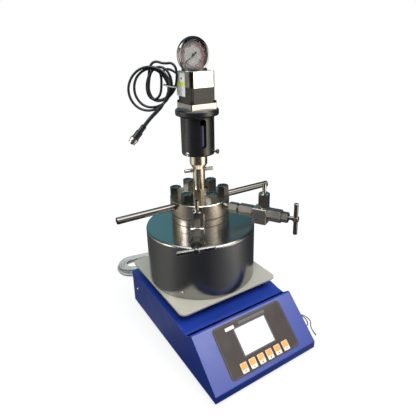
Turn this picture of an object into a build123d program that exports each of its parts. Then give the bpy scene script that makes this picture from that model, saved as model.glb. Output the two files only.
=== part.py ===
"""Bench-top stirred hydrothermal reactor.
Blue sheet-metal controller base, raised square plate, steel heating jacket,
bolted pressure vessel with two angle needle valves, magnetic stirrer drive with
a square motor, pressure gauge on a rear riser, motor lead, mains lead and
sensor lead.  Millimetres, +Z up, feet on Z = 0."""
import os
from math import cos, sin, radians, degrees, tan, sqrt, atan2, acos, hypot
from build123d import *

os.makedirs("parts", exist_ok=True)

# ------------------------------------------------------------------ dimensions
BASE_X0, BASE_X1 = -125.5, 123.2        # left and right side of the base
BASE_Y0, BASE_Y1 = -246.0, 123.2        # front lip and rear panel
FOOT_H, FOOT_R = 8.0, 11.0
SHEET = 1.5                             # sheet thickness of the base
Z_TOP = 91.0                            # flat top of the base
FOLD_Y, FOLD_Z = -126.5, 87.0           # front fold of the top
STEP_Y = -104.0
VALLEY_Y, VALLEY_Z = -146.0, 86.2
RIDGE_Y, RIDGE_Z = -165.0, 98.2         # upper edge of the sloping panel
LIP_Z = 22.4                            # lower edge of the sloping panel

OVL_W, OVL_H, OVL_X, OVL_S = 168.2, 98.0, 0.8, 53.5   # panel overlay
WIN_W, WIN_H, WIN_X, WIN_S = 75.6, 52.4, -1.0, 46.4   # display window
KEY_W, KEY_H, KEY_PITCH, KEY_X, KEY_S = 14.4, 18.4, 20.6, 1.5, 90.0
KEY_TRAVEL = 0.6

PLATE_W, PLATE_D, PLATE_T, PLATE_R = 240.6, 247.3, 4.0, 13.0
PLATE_X, PLATE_Y, PLATE_Z = -0.8, 0.3, 111.5
POST_R, POST_X, POST_Y = 8.0, 72.0, 78.0

JACKET_R, JACKET_Z0, JACKET_Z1, JACKET_T, RIM_R = 119.8, 117.0, 236.0, 1.5, 5.0
BORE_R = 47.0
VESSEL_R, VESSEL_BORE, VESSEL_Z0 = 45.0, 30.0, 126.0
FLANGE_R, FLANGE_Z0, FLANGE_Z1 = 64.25, 236.0, 267.9
LID_Z0, LID_Z1 = 268.5, 300.3
PORT_Z = 286.0                          # height of the side ports in the lid

PCD_R, NUT_AF, NUT_H, STUD_R, NUT_AZ = 51.0, 22.0, 21.1, 7.0, 29.0
ROD_R, ROD_LEN_END, ROD_Z, ROD_AZ = 7.2, 187.6, 287.6, -1.0

FRONT_AZ, RIGHT_AZ = -122.8, -60.6      # azimuths of the two needle valves
BAR_R, BAR_L, BAR_AT = 4.4, 66.5, 214.6

NECK_R, NECK_Z1, CUP_R, CUP_Z1 = 12.9, 366.0, 18.5, 393.6
COLLAR_AF, COLLAR_H = 25.0, 16.5
NIP_AZ, NIP_Z, NIP_END = -13.0, 358.0, 31.5

HOUS_R, HOUS_T, HOUS_Z0, HOUS_Z1 = 34.4, 3.6, 394.0, 488.1
HFL_R, HFL_Z0 = 44.3, 475.0
SLOT_AZ, SLOT_W, SLOT_Z0, SLOT_Z1 = -101.0, 12.4, 412.0, 471.0
THUMB_AZ, THUMB_Z = -50.0, 401.0

MOTOR_H = 28.2                          # half width of the square motor
MFL_H, MFL_Z0, MFL_Z1 = 29.7, 488.1, 499.7
STAT_Z1, CAP_Z1, COVER_Z1 = 530.6, 560.8, 565.0
SHAFT_R = 4.0

GAUGE_X, GAUGE_Y, GAUGE_Z, GAUGE_R = 31.8, 70.0, 587.0, 37.6   # y: riser axis
FACE_Y = 57.0                           # front of the bezel ring
PIPE_R = 6.0

LEAD_R, MAINS_R, SENSOR_R = 2.5, 4.0, 1.1

parts = {}
cords = {}


def add(name, *solids):
    out = []
    for s in solids:
        if isinstance(s, (list, tuple)):
            out += list(s)
        else:
            out.append(s)
    parts[name] = out


def cyl(r, h, at=(0, 0, 0), d=(0, 0, 1)):
    return Plane(origin=at, z_dir=d) * Cylinder(r, h, align=(Align.CENTER, Align.CENTER, Align.MIN))


def ring(ro, ri, h, at=(0, 0, 0), d=(0, 0, 1)):
    p = Plane(origin=at, z_dir=d)
    al = (Align.CENTER, Align.CENTER, Align.MIN)
    return p * (Cylinder(ro, h, align=al) - Cylinder(ri, h, align=al))


def hexagon(af, h, at=(0, 0, 0), d=(0, 0, 1), turn=0.0, ch=0.0, bore=0.0, xd=None):
    """Hexagonal prism with chamfered corners at both ends."""
    pl = Plane(origin=at, z_dir=d) if xd is None else Plane(origin=at, x_dir=xd, z_dir=d)
    body = extrude(RegularPolygon(af / sqrt(3), 6, rotation=turn), h)
    if ch:
        rc = af / 2 + 0.25
        prof = Polyline((0, 0), (rc - ch * 0.2, 0), (af / sqrt(3) + 0.4, (af / sqrt(3) + 0.6 - rc) * 0.6),
                        (af / sqrt(3) + 0.4, h - (af / sqrt(3) + 0.6 - rc) * 0.6), (rc - ch * 0.2, h), (0, h), close=True)
        cone = revolve(Plane.XZ * make_face(prof), Axis.Z)
        body = body & cone
    if bore:
        body = body - Cylinder(bore, h, align=(Align.CENTER, Align.CENTER, Align.MIN))
    return pl * body


def turned(profile):
    """Solid of revolution about Z from (radius, height) points."""
    return revolve(Plane.XZ * make_face(Polyline(*profile, close=True)), Axis.Z)


def az(deg, r, z):
    return (r * cos(radians(deg)), r * sin(radians(deg)), z)


def path_radii(pts):
    """Bend radius at each inner point of a route: 0.45 of the shorter run over tan(half turn)."""
    out = []
    for a, b, c in zip(pts, pts[1:], pts[2:]):
        u = Vector(*b) - Vector(*a)
        v = Vector(*c) - Vector(*b)
        th = acos(max(-1, min(1, u.normalized().dot(v.normalized()))))
        out.append(0.45 * min(u.length, v.length) / tan(th / 2))
    return out


def tube(name, pts, r):
    rad = path_radii(pts)
    wire = FilletPolyline(*pts, radius=rad)
    start = wire @ 0
    tan0 = wire % 0
    solid = sweep(Plane(origin=start, z_dir=tan0) * Circle(r), path=wire)
    cords[name] = (pts, rad, wire.length, r)
    return solid


# ------------------------------------------------------------------ base
mid_x = (BASE_X0 + BASE_X1) / 2
base_w = BASE_X1 - BASE_X0
outer_pts = [(BASE_Y1, FOOT_H), (BASE_Y1, Z_TOP), (STEP_Y, Z_TOP), (FOLD_Y, FOLD_Z), (VALLEY_Y, VALLEY_Z),
             (RIDGE_Y + 4.6, RIDGE_Z - 0.2), (RIDGE_Y, RIDGE_Z), (BASE_Y0, LIP_Z), (BASE_Y0, FOOT_H)]


def yz_face(pts):
    return Plane(origin=(0, 0, 0), x_dir=(0, 1, 0), z_dir=(1, 0, 0)) * make_face(Polyline(*pts, close=True))


def inset(pts, t):
    """Profile moved inwards by t; the open lower edge is kept and run down past the rim."""
    cx = sum(p[0] for p in pts) / len(pts)
    cz = sum(p[1] for p in pts) / len(pts)
    lines = []
    for a, b in zip(pts, pts[1:]):
        dx, dz = b[0] - a[0], b[1] - a[1]
        ln = hypot(dx, dz)
        nx, nz = -dz / ln, dx / ln
        if (cx - a[0]) * nx + (cz - a[1]) * nz < 0:
            nx, nz = -nx, -nz
        lines.append(((a[0] + nx * t, a[1] + nz * t), (dx / ln, dz / ln)))
    out = [(lines[0][0][0], FOOT_H - 2)]
    for (p, u), (q, v) in zip(lines, lines[1:]):
        det = u[0] * -v[1] + u[1] * v[0]
        k = ((q[0] - p[0]) * -v[1] + (q[1] - p[1]) * v[0]) / det
        out.append((p[0] + u[0] * k, p[1] + u[1] * k))
    out.append((lines[-1][0][0], FOOT_H - 2))
    return out


shell = Pos(BASE_X0, 0, 0) * extrude(yz_face(outer_pts), base_w)
long_edges = [e for e in shell.edges().filter_by(Axis.X)
              if any(abs(e.center().Y - y) < 0.6 and abs(e.center().Z - z) < 0.6
                     for y, z in (outer_pts[1], outer_pts[5], outer_pts[6]))]
shell = fillet(long_edges, 1.6)
low = [e for e in shell.edges().filter_by(Axis.X)
       if abs(e.center().Y - BASE_Y0) < 0.6 and abs(e.center().Z - LIP_Z) < 0.6]
shell = fillet(low, 3.0)
side = [e for f in (shell.faces().sort_by(Axis.X)[0], shell.faces().sort_by(Axis.X)[-1])
        for e in f.edges() if e.center().Z > FOOT_H + 0.5]
shell = fillet(side, 1.2)
inner = Pos(BASE_X0 + SHEET, 0, 0) * extrude(yz_face(inset(outer_pts, SHEET)), base_w - 2 * SHEET)
shell = shell - inner

# frame of the sloping panel: s runs down the slope from the ridge
dy, dz = BASE_Y0 - RIDGE_Y, LIP_Z - RIDGE_Z
plen = hypot(dy, dz)
ty, tz = dy / plen, dz / plen                 # down-slope direction
PN = (0, tz, -ty)                             # outward normal


def on_panel(x, s, lift=0.0):
    return (x, RIDGE_Y + ty * s + PN[1] * lift, RIDGE_Z + tz * s + PN[2] * lift)


def panel_plane(x, s, lift=0.0):
    return Plane(origin=on_panel(x, s, lift), x_dir=(1, 0, 0), z_dir=PN)


WIN_LIFT = 0.15
shell = shell - (panel_plane(WIN_X, WIN_S, -4) * Box(WIN_W - 4, WIN_H - 4, 8))
key_x = [KEY_X + (i - 2.5) * KEY_PITCH for i in range(6)]
for kx in key_x:
    shell = shell - (panel_plane(kx, KEY_S, -4) * Box(7.0, 7.0, 8))
# rear panel openings: mains gland and power switch; right panel: sensor socket
GLAND = (-40.0, BASE_Y1, 40.0)
SWITCH = (62.0, BASE_Y1, 46.0)
SOCKET = (BASE_X1, -128.0, 40.0)
shell = shell - cyl(6.2, 6, (GLAND[0], BASE_Y1 - 4, GLAND[2]), (0, 1, 0))
shell = shell - (Pos(SWITCH[0], BASE_Y1 - 1, SWITCH[2]) * Box(13.2, 8, 21.2))
shell = shell - cyl(4.2, 6, (BASE_X1 - 4, SOCKET[1], SOCKET[2]), (1, 0, 0))
# case screw holes in the two side panels
for sx, sd in ((BASE_X0, -1), (BASE_X1, 1)):
    shell = shell - cyl(2.1, 6, (sx - sd * 3, 95.2, 52.5), (sd, 0, 0))
add("base_housing", shell)

floor_z = FOOT_H
add("base_floor_plate", Pos(mid_x, (BASE_Y0 + BASE_Y1) / 2, floor_z + 1.0)
    * Box(base_w - 2 * SHEET - 0.6, BASE_Y1 - BASE_Y0 - 2 * SHEET - 0.6, 2.0))
feet = []
for x in (BASE_X0 + 22, BASE_X1 - 22):
    for y in (BASE_Y0 + 26, BASE_Y1 - 24):
        f = Pos(x, y, 0) * Cylinder(FOOT_R, FOOT_H, align=(Align.CENTER, Align.CENTER, Align.MIN))
        feet.append(chamfer(f.edges().sort_by(Axis.Z)[0], 1.2))
add("rubber_feet", feet)

# overlay with a window opening and six key openings
ovl = panel_plane(OVL_X, OVL_S, 0.4) * extrude(RectangleRounded(OVL_W, OVL_H, 8.0), 0.4, both=True)
ovl = ovl - (panel_plane(WIN_X, WIN_S, 0.4) * Box(WIN_W, WIN_H, 3))
for kx in key_x:
    ovl = ovl - (panel_plane(kx, KEY_S, 0.4) * extrude(RectangleRounded(KEY_W + 0.5, KEY_H + 0.5, 1.75), 2, both=True))
add("panel_overlay", ovl)
add("display_window", panel_plane(WIN_X, WIN_S, 0.35) * Box(WIN_W - 0.2, WIN_H - 0.2, 0.7))
for i, kx in enumerate(key_x):
    k = panel_plane(kx, KEY_S, 0.7) * extrude(RectangleRounded(KEY_W, KEY_H, 1.5), 0.9)
    post = panel_plane(kx, KEY_S, -3.2) * Box(6.2, 6.2, 8.2)
    add(f"key_{i + 1}", k + post)

add("power_switch", (Pos(SWITCH[0], BASE_Y1 + 0.6, SWITCH[2]) * Box(12.4, 3.2, 20.2))
    & (Plane(origin=(SWITCH[0] - 8, BASE_Y1 - 24.0, SWITCH[2]), z_dir=(1, 0, 0)) * Cylinder(26.2, 16, align=(Align.CENTER, Align.CENTER, Align.MIN))))
gl = ring(9.0, MAINS_R + 0.3, 5, (GLAND[0], BASE_Y1, GLAND[2]), (0, 1, 0)) \
    + ring(6.0, MAINS_R + 0.3, 8, (GLAND[0], BASE_Y1 - 6, GLAND[2]), (0, 1, 0)) \
    + (Plane(origin=(GLAND[0], BASE_Y1 + 4.9, GLAND[2]), z_dir=(0, 1, 0))
       * (Cone(7.0, 5.2, 23.0, align=(Align.CENTER, Align.CENTER, Align.MIN))
          - Cylinder(MAINS_R + 0.3, 23.0, align=(Align.CENTER, Align.CENTER, Align.MIN))))
add("mains_gland", gl)

# ------------------------------------------------------------------ plate and jacket
posts = [cyl(POST_R, PLATE_Z - Z_TOP, (sx * POST_X, sy * POST_Y, Z_TOP)) for sx in (-1, 1) for sy in (-1, 1)]
add("plate_posts", posts)
plate = Pos(PLATE_X, PLATE_Y, PLATE_Z) * extrude(RectangleRounded(PLATE_W, PLATE_D, PLATE_R), PLATE_T)
plate = chamfer(plate.edges().group_by(Axis.Z)[-1], 0.5)
add("top_plate", plate)

al = (Align.CENTER, Align.CENTER, Align.MIN)
jo = Pos(0, 0, JACKET_Z0) * Cylinder(JACKET_R, JACKET_Z1 - JACKET_Z0, align=al)
jo = fillet(jo.edges().group_by(Axis.Z)[-1], RIM_R)
ji = Pos(0, 0, JACKET_Z0 - 1) * Cylinder(JACKET_R - JACKET_T, JACKET_Z1 - JACKET_Z0 + 1 - JACKET_T, align=al)
ji = fillet(ji.edges().group_by(Axis.Z)[-1], RIM_R - JACKET_T)
jacket = jo - ji - cyl(BORE_R, 20, (0, 0, JACKET_Z1 - 10))
JS_AZ, JS_Z = -141.0, 129.9
d = az(JS_AZ, 1, 0)
jacket = jacket - cyl(2.1, 8, az(JS_AZ, JACKET_R - 5, JS_Z), d)
add("jacket_shell", jacket)
BED_R = 116.8                           # flat flange of the heater sleeve under the jacket
add("heater_sleeve", ring(62.0, 45.6, 112.0, (0, 0, PLATE_Z + PLATE_T))
    + ring(BED_R, 45.6, JACKET_Z0 - PLATE_Z - PLATE_T, (0, 0, PLATE_Z + PLATE_T)))

# ------------------------------------------------------------------ vessel and lid
ves = turned([(0, VESSEL_Z0), (VESSEL_R - 3, VESSEL_Z0), (VESSEL_R, VESSEL_Z0 + 3), (VESSEL_R, FLANGE_Z0),
              (FLANGE_R - 0.5, FLANGE_Z0), (FLANGE_R, FLANGE_Z0 + 0.6), (FLANGE_R, FLANGE_Z1 - 0.7), (FLANGE_R - 0.7, FLANGE_Z1),
              (VESSEL_BORE, FLANGE_Z1), (VESSEL_BORE, VESSEL_Z0 + 16),
              (VESSEL_BORE - 8, VESSEL_Z0 + 8), (0, VESSEL_Z0 + 8)])
lid = Pos(0, 0, LID_Z0) * Cylinder(FLANGE_R, LID_Z1 - LID_Z0, align=al)
lid = chamfer(lid.edges().group_by(Axis.Z)[-1], 1.0)
lid = chamfer(lid.edges().group_by(Axis.Z)[0], 0.6)
lid = lid - cyl(5.2, 60, (0, 0, LID_Z0 - 10))
studs, nuts = [], []
for k in range(6):
    a = NUT_AZ + 60 * k
    p = az(a, PCD_R, 0)
    ves = ves - cyl(STUD_R, 40, (p[0], p[1], FLANGE_Z1 - 24))
    lid = lid - cyl(STUD_R + 0.4, 60, (p[0], p[1], LID_Z0 - 10))
    s = cyl(STUD_R, LID_Z1 + NUT_H - 1.6 - (FLANGE_Z1 - 24), (p[0], p[1], FLANGE_Z1 - 24))
    studs.append(chamfer(s.edges().group_by(Axis.Z)[-1], 1.0))
    nuts.append(hexagon(NUT_AF, NUT_H, (p[0], p[1], LID_Z1), turn=a * 1.0 + 14 + 17 * k, ch=1.0, bore=STUD_R))
add("vessel_body", ves)
add("stud_bolts", studs)
add("hex_nuts", nuts)

rods = []
for a in (ROD_AZ, ROD_AZ + 180):
    dd = az(a, 1, 0)
    lid = lid - cyl(4.0, 20, az(a, FLANGE_R - 16, ROD_Z), dd)
    r = cyl(ROD_R, ROD_LEN_END - FLANGE_R, az(a, FLANGE_R, ROD_Z), dd)
    far = Vector(*az(a, ROD_LEN_END, ROD_Z))
    e = sorted(r.edges().filter_by(GeomType.CIRCLE), key=lambda x: (x.center() - far).length)[0]
    r = chamfer(e, 1.0)
    rods.append(r + cyl(4.0, 14, az(a, FLANGE_R - 14, ROD_Z), dd))
add("handle_rods", rods)

# ------------------------------------------------------------------ needle valves (built at azimuth 0)
VZ = PORT_Z
X = (1, 0, 0)
UP = (0, 1, 0)                           # hexagon reference: flats above and below


def vhex(af, r0, r1, bore=0.0):
    return hexagon(af, r1 - r0, (r0, 0, VZ), X, turn=0, ch=1.0, bore=bore, xd=UP)


v_inlet = cyl(5.0, 20, (FLANGE_R - 12, 0, VZ), X) + cyl(6.8, 9.0, (FLANGE_R, 0, VZ), X) + vhex(20.0, 72.9, 92.5)
v_inlet = v_inlet - cyl(2.0, 60, (FLANGE_R - 14, 0, VZ), X)
v_adapter = cyl(7.4, 3.6, (92.5, 0, VZ), X) + vhex(22.0, 96.1, 126.4) + cyl(8.2, 0.9, (126.4, 0, VZ), X)
v_adapter = v_adapter - cyl(2.0, 60, (90, 0, VZ), X)
BODY_X0, BODY_X1, BODY_Z0, BODY_Z1 = 127.3, 157.5, 264.9, 298.2
body = Pos((BODY_X0 + BODY_X1) / 2, 0, (BODY_Z0 + BODY_Z1) / 2) * Box(BODY_X1 - BODY_X0, 26.0, BODY_Z1 - BODY_Z0)
body = chamfer(body.edges(), 1.4)
OUT_X = 148.2
body = body - cyl(2.5, 30, (120, 0, VZ), X) - cyl(2.5, 20, (OUT_X, 0, VZ), (0, 0, 1)) - cyl(5.2, 16, (146.0, 0, VZ), X)
v_outlet_nut = cyl(7.2, 2.6, (OUT_X, 0, BODY_Z1), (0, 0, 1)) + hexagon(20.0, 28.9, (OUT_X, 0, BODY_Z1 + 2.6), turn=30, ch=1.0)
v_outlet_nut = v_outlet_nut - cyl(4.0, 40, (OUT_X, 0, BODY_Z1 - 1))
v_tube = ring(3.7, 2.4, 28.0, (OUT_X, 0, BODY_Z1 + 4.0)) + ring(3.95, 2.4, 18.5, (OUT_X, 0, BODY_Z1 + 32.0))
v_bonnet = vhex(24.0, BODY_X1, 186.6) - cyl(5.2, 60, (150, 0, VZ), X)
v_gland = vhex(19.0, 186.6, 200.0) - cyl(4.3, 60, (150, 0, VZ), X)
v_needle = cyl(2.2, 7, (147.2, 0, VZ), X) + cyl(4.9, 27.8, (154.2, 0, VZ), X)
v_handle = cyl(4.0, 32.0, (182.3, 0, VZ), X)
bar = cyl(BAR_R, BAR_L, (BAR_AT, -BAR_L / 2, VZ), (0, 1, 0))
bar = chamfer(bar.edges().filter_by(GeomType.CIRCLE), 0.8)
boss = cyl(6.0, 11.0, (BAR_AT - 5.5, 0, VZ), X)
boss = chamfer(boss.edges().filter_by(GeomType.CIRCLE), 0.8)
v_handle = v_handle + bar + boss


def both(s):
    return [s.rotate(Axis.Z, FRONT_AZ), s.rotate(Axis.Z, RIGHT_AZ)]


for a in (FRONT_AZ, RIGHT_AZ):
    lid = lid - cyl(5.0, 20, az(a, FLANGE_R - 12.0, VZ), az(a, 1, 0)) - cyl(2.0, 20, az(a, FLANGE_R - 26.0, VZ), az(a, 1, 0))
add("valve_inlet_nuts", both(v_inlet))
add("valve_adapters", both(v_adapter))
add("valve_bodies", both(body))
add("valve_outlet_nuts", both(v_outlet_nut))
add("valve_outlet_tubes", both(v_tube))
add("valve_bonnets", both(v_bonnet))
add("valve_gland_nuts", both(v_gland))
VAX = Axis((0, 0, VZ), (1, 0, 0))
add("front_valve_needle", v_needle.rotate(Axis.Z, FRONT_AZ))
add("front_valve_handle", v_handle.rotate(VAX, 10.0).rotate(Axis.Z, FRONT_AZ))
add("right_valve_needle", v_needle.rotate(Axis.Z, RIGHT_AZ))
add("right_valve_handle", v_handle.rotate(VAX, 92.0).rotate(Axis.Z, RIGHT_AZ))

# ------------------------------------------------------------------ drive neck
collar = hexagon(COLLAR_AF, COLLAR_H, (0, 0, LID_Z1), turn=10, ch=1.0, bore=5.2)
neck = turned([(5.2, LID_Z1 + COLLAR_H), (NECK_R, LID_Z1 + COLLAR_H), (NECK_R, NECK_Z1 - 3), (NECK_R + 1.6, NECK_Z1),
               (CUP_R - 0.8, NECK_Z1 + 5.5), (CUP_R, NECK_Z1 + 7), (CUP_R, CUP_Z1), (13.6, CUP_Z1), (13.6, 446),
               (12.6, 447), (0, 447), (0, 445), (11.6, 445), (11.6, 392), (5.2, 392)])
nips = []
for a in (NIP_AZ, NIP_AZ + 180):
    dd = az(a, 1, 0)
    neck = neck - cyl(3.4, 10, az(a, NECK_R - 5, NIP_Z), dd)
    n = cyl(3.4, NIP_END - NECK_R + 4, az(a, NECK_R - 4, NIP_Z), dd)
    for k in range(3):
        st = NECK_R + 7.5 + 3.6 * k
        n = n + (Plane(origin=az(a, st, NIP_Z), z_dir=dd) * Cone(4.2, 3.4, 3.4, align=al))
    n = n + cyl(4.6, 2.2, az(a, NECK_R + 2.0, NIP_Z), dd)
    n = n - cyl(1.9, 40, az(a, NECK_R - 4, NIP_Z), dd)
    nips.append(n)
add("drive_neck", neck + collar)
add("cooling_nipples", nips)
shaft = cyl(4.0, 258, (0, 0, 160)) + cyl(9.6, 36, (0, 0, 404)) + cyl(5.15, 10, (0, 0, 322)) + cyl(5.15, 8, (0, 0, 380))
blade = Pos(0, 0, 164) * Box(42, 3, 11)
shaft = shaft + cyl(7, 12, (0, 0, 158)) + blade + blade.rotate(Axis.Z, 90)
shaft = shaft + cyl(4.0, 24, (0, 0, 418))
add("stirrer_shaft", shaft)
add("lid", lid)

# ------------------------------------------------------------------ coupling housing and drive rotor
hz = HOUS_Z0
ho = turned([(0, hz), (HOUS_R - 3.6, hz), (HOUS_R - 1.0, hz + 1.0), (HOUS_R, hz + 3.6), (HOUS_R, HFL_Z0 - 3),
             (HOUS_R + 1.2, HFL_Z0 - 0.9), (HFL_R - 3, HFL_Z0), (HFL_R - 0.8, HFL_Z0 + 0.9), (HFL_R, HFL_Z0 + 3),
             (HFL_R, HOUS_Z1 - 2.5), (HFL_R - 2.5, HOUS_Z1), (0, HOUS_Z1)])
hin = turned([(0, hz + 5), (HOUS_R - HOUS_T, hz + 5), (HOUS_R - HOUS_T, HOUS_Z1 - 4), (20, HOUS_Z1 - 4), (20, HOUS_Z1 + 1), (0, HOUS_Z1 + 1)])
housing = ho - hin - cyl(14.2, 20, (0, 0, hz - 5))
sp = Plane(origin=az(SLOT_AZ, 0, (SLOT_Z0 + SLOT_Z1) / 2), x_dir=(0, 0, 1), z_dir=az(SLOT_AZ, 1, 0))
housing = housing - (sp * extrude(SlotOverall(SLOT_Z1 - SLOT_Z0, SLOT_W), HOUS_R + 8))
HS_AZ, HS_Z = -158.0, 400.6
housing = housing - cyl(2.1, 12, az(HS_AZ, HOUS_R - 8, HS_Z), az(HS_AZ, 1, 0))
housing = housing - cyl(2.6, 12, az(THUMB_AZ, HOUS_R - 8, THUMB_Z), az(THUMB_AZ, 1, 0))
add("coupling_housing", housing)
rotor = turned([(0, 468), (9, 468), (9, 458), (26.5, 458), (28, 456.5), (28, 408), (26.5, 406.5), (15.4, 406.5), (15.4, 452), (0, 452)])
rotor = rotor + cyl(SHAFT_R, 22, (0, 0, 466.5))
add("drive_rotor", rotor)


def button(at, d, r=3.6, h=2.6, sr=2.0, sl=5.0):
    b = cyl(r, h, at, d)
    far = Vector(*at) + Vector(*d).normalized() * h
    e = sorted(b.edges().filter_by(GeomType.CIRCLE), key=lambda x: (x.center() - far).length)[0]
    b = fillet(e, min(1.8, h - 0.3))
    b = b - (Plane(origin=far, z_dir=d) * extrude(RegularPolygon(r * 0.45, 6), 1.2, both=True))
    back = Vector(*at) - Vector(*d).normalized() * sl
    return b + cyl(sr, sl, (back.X, back.Y, back.Z), d)


screws = [button((BASE_X0, 95.2, 52.5), (-1, 0, 0)), button((BASE_X1, 95.2, 52.5), (1, 0, 0)),
          button(az(JS_AZ, JACKET_R, JS_Z), az(JS_AZ, 1, 0), r=4.2, h=3.0),
          button(az(HS_AZ, HOUS_R, HS_Z), az(HS_AZ, 1, 0), r=4.4, h=3.4)]
add("button_screws", screws)
tdir = az(THUMB_AZ, 1, 0)
thumb = cyl(2.5, 14, az(THUMB_AZ, HOUS_R - 5, THUMB_Z), tdir)
head = cyl(4.8, 5.0, az(THUMB_AZ, HOUS_R + 5.2, THUMB_Z), tdir)
head = chamfer(head.edges().filter_by(GeomType.CIRCLE), 0.7)
add("thumb_screw", thumb + head)

# ------------------------------------------------------------------ motor
mfl = Pos(0, 0, (MFL_Z0 + MFL_Z1) / 2) * Box(2 * MFL_H, 2 * MFL_H, MFL_Z1 - MFL_Z0)
mfl = chamfer(mfl.edges().filter_by(Axis.Z), 2.2) - cyl(SHAFT_R + 1.2, 40, (0, 0, 470))
stat = Pos(0, 0, (MFL_Z1 + STAT_Z1) / 2) * Box(2 * MOTOR_H, 2 * MOTOR_H, STAT_Z1 - MFL_Z1)
cap = Pos(0, 0, (STAT_Z1 + CAP_Z1) / 2) * Box(2 * MOTOR_H, 2 * MOTOR_H, CAP_Z1 - STAT_Z1)
stat = chamfer(stat.edges().filter_by(Axis.Z), 5.0)
cap = chamfer(cap.edges().filter_by(Axis.Z), 5.0)
cap = chamfer(cap.edges().group_by(Axis.Z)[-1], 0.6)
mscrews = []
G = 26.4
for sx in (-1, 1):
    for sy in (-1, 1):
        g = cyl(4.4, 90, (sx * G, sy * G, MFL_Z1))
        stat, cap = stat - g, cap - g
        mfl = mfl - cyl(2.0, 20, (sx * G, sy * G, MFL_Z1 - 9))
        s = cyl(3.2, 4.6, (sx * G, sy * G, MFL_Z1))
        s = s - (Pos(sx * G, sy * G, MFL_Z1 + 3.4) * extrude(RegularPolygon(1.8, 6), 2)) + cyl(2.0, 8, (sx * G, sy * G, MFL_Z1 - 8))
        mscrews.append(s)
cap = cap + (Pos(-2, 2, CAP_Z1) * Cylinder(25, COVER_Z1 - CAP_Z1, align=al))
add("motor_flange", mfl)
add("motor_stator", stat)
add("motor_end_cap", cap)
add("motor_screws", mscrews)

# ------------------------------------------------------------------ gauge on its riser
g_az = degrees(atan2(GAUGE_Y, GAUGE_X))
g_r = hypot(GAUGE_X, GAUGE_Y)
gd = az(g_az, 1, 0)
lid2 = parts["lid"][0] - cyl(5.0, 20, az(g_az, FLANGE_R - 12.0, PORT_Z), gd) - cyl(2.0, 20, az(g_az, FLANGE_R - 26.0, PORT_Z), gd)
add("lid", lid2)
riser = cyl(5.0, 13.0, az(g_az, FLANGE_R - 12, PORT_Z), gd) + cyl(6.8, 14.0, az(g_az, FLANGE_R, PORT_Z), gd)
riser = riser + (Pos(GAUGE_X, GAUGE_Y, PORT_Z - 9) * Rot(0, 0, g_az) * Box(17, 17, 20, align=al))
riser = riser + hexagon(17.0, 14, (GAUGE_X, GAUGE_Y, PORT_Z + 11), turn=12, ch=0.8)
riser = riser + cyl(PIPE_R, 525 - PORT_Z - 12, (GAUGE_X, GAUGE_Y, PORT_Z + 12))
riser = riser + hexagon(19.0, 15, (GAUGE_X, GAUGE_Y, 525), turn=5, ch=0.8)
CASE_R, CASE_Y0, CASE_Y1 = 35.4, FACE_Y + 4.5, 76.6
add("gauge_riser", riser)
gc = (GAUGE_X, 0, GAUGE_Z)
case = cyl(CASE_R, CASE_Y1 - CASE_Y0, (GAUGE_X, CASE_Y1, GAUGE_Z), (0, -1, 0))
back = sorted(case.edges().filter_by(GeomType.CIRCLE), key=lambda e: -e.center().Y)[0]
case = fillet(back, 11.5)
stem = Pos(GAUGE_X, GAUGE_Y + 1.4, 540) * Box(13, 10.2, 20, align=al)
case = case + stem
inner = cyl(CASE_R - 1.4, CASE_Y1 - 1.6 - CASE_Y0, (GAUGE_X, CASE_Y1 - 1.6, GAUGE_Z), (0, -1, 0))
back = sorted(inner.edges().filter_by(GeomType.CIRCLE), key=lambda e: -e.center().Y)[0]
case = case - fillet(back, 10.1) - cyl(CASE_R - 1.4, 3.0, (GAUGE_X, CASE_Y0 + 1.0, GAUGE_Z), (0, -1, 0))
add("gauge_case", case)
# bezel ring, turned about the -Y axis of the face
bz = [(31.6, 0.6), (33.2, 0.0), (35.6, 0.4), (37.0, 1.6), (GAUGE_R, 3.4), (GAUGE_R, 8.2), (36.8, 9.0), (CASE_R + 0.02, 9.0),
      (CASE_R + 0.02, 4.4), (33.9, 4.4), (33.9, 3.0), (31.6, 3.0)]
bezel = turned(bz)
bezel = Plane(origin=(GAUGE_X, FACE_Y, GAUGE_Z), x_dir=(1, 0, 0), z_dir=(0, 1, 0)) * bezel
add("gauge_bezel", bezel)
add("gauge_glass", cyl(33.8, 1.1, (GAUGE_X, FACE_Y + 4.15, GAUGE_Z), (0, -1, 0)))
DIAL_Y = FACE_Y + 7.0
add("gauge_dial", cyl(33.2, 1.0, (GAUGE_X, DIAL_Y + 1.0, GAUGE_Z), (0, -1, 0))
    + cyl(1.2, 1.7, (GAUGE_X, DIAL_Y, GAUGE_Z), (0, -1, 0))
    + ring(22.0, 20.4, CASE_Y1 - 1.6 - DIAL_Y - 1.0, (GAUGE_X, CASE_Y1 - 1.6, GAUGE_Z), (0, -1, 0)))
P_ANG = 217.7
pl = Plane(origin=(GAUGE_X, DIAL_Y - 1.5, GAUGE_Z), x_dir=(cos(radians(P_ANG)), 0, sin(radians(P_ANG))), z_dir=(0, -1, 0))
ptr = pl * extrude(make_face(Polyline((25.0, 0.35), (25.0, -0.35), (-2, -1.1), (-8.5, -1.3), (-8.5, 1.3), (-2, 1.1), close=True)), 0.5)
ptr = ptr + (pl * Pos(-8.0, 0, 0) * Cylinder(2.3, 0.5, align=al)) + (pl * Pos(0, 0, -0.8) * Cylinder(2.6, 1.6, align=al))
ptr = ptr - cyl(1.24, 2.0, (GAUGE_X, DIAL_Y + 0.1, GAUGE_Z), (0, -1, 0))
add("gauge_pointer", ptr)

# ------------------------------------------------------------------ leads
N = (sin(radians(32.97)), cos(radians(32.97)), 0)          # normal of the hank's plane
R = (cos(radians(32.97)), -sin(radians(32.97)), 0)          # its horizontal direction
H_OFF = -5.0


def hk(s, z, off=0.0):
    """Point on the plane of the hank: s along it (to the right), z up."""
    o = H_OFF + off
    return (N[0] * o + R[0] * s, N[1] * o + R[1] * s, z)


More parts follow.
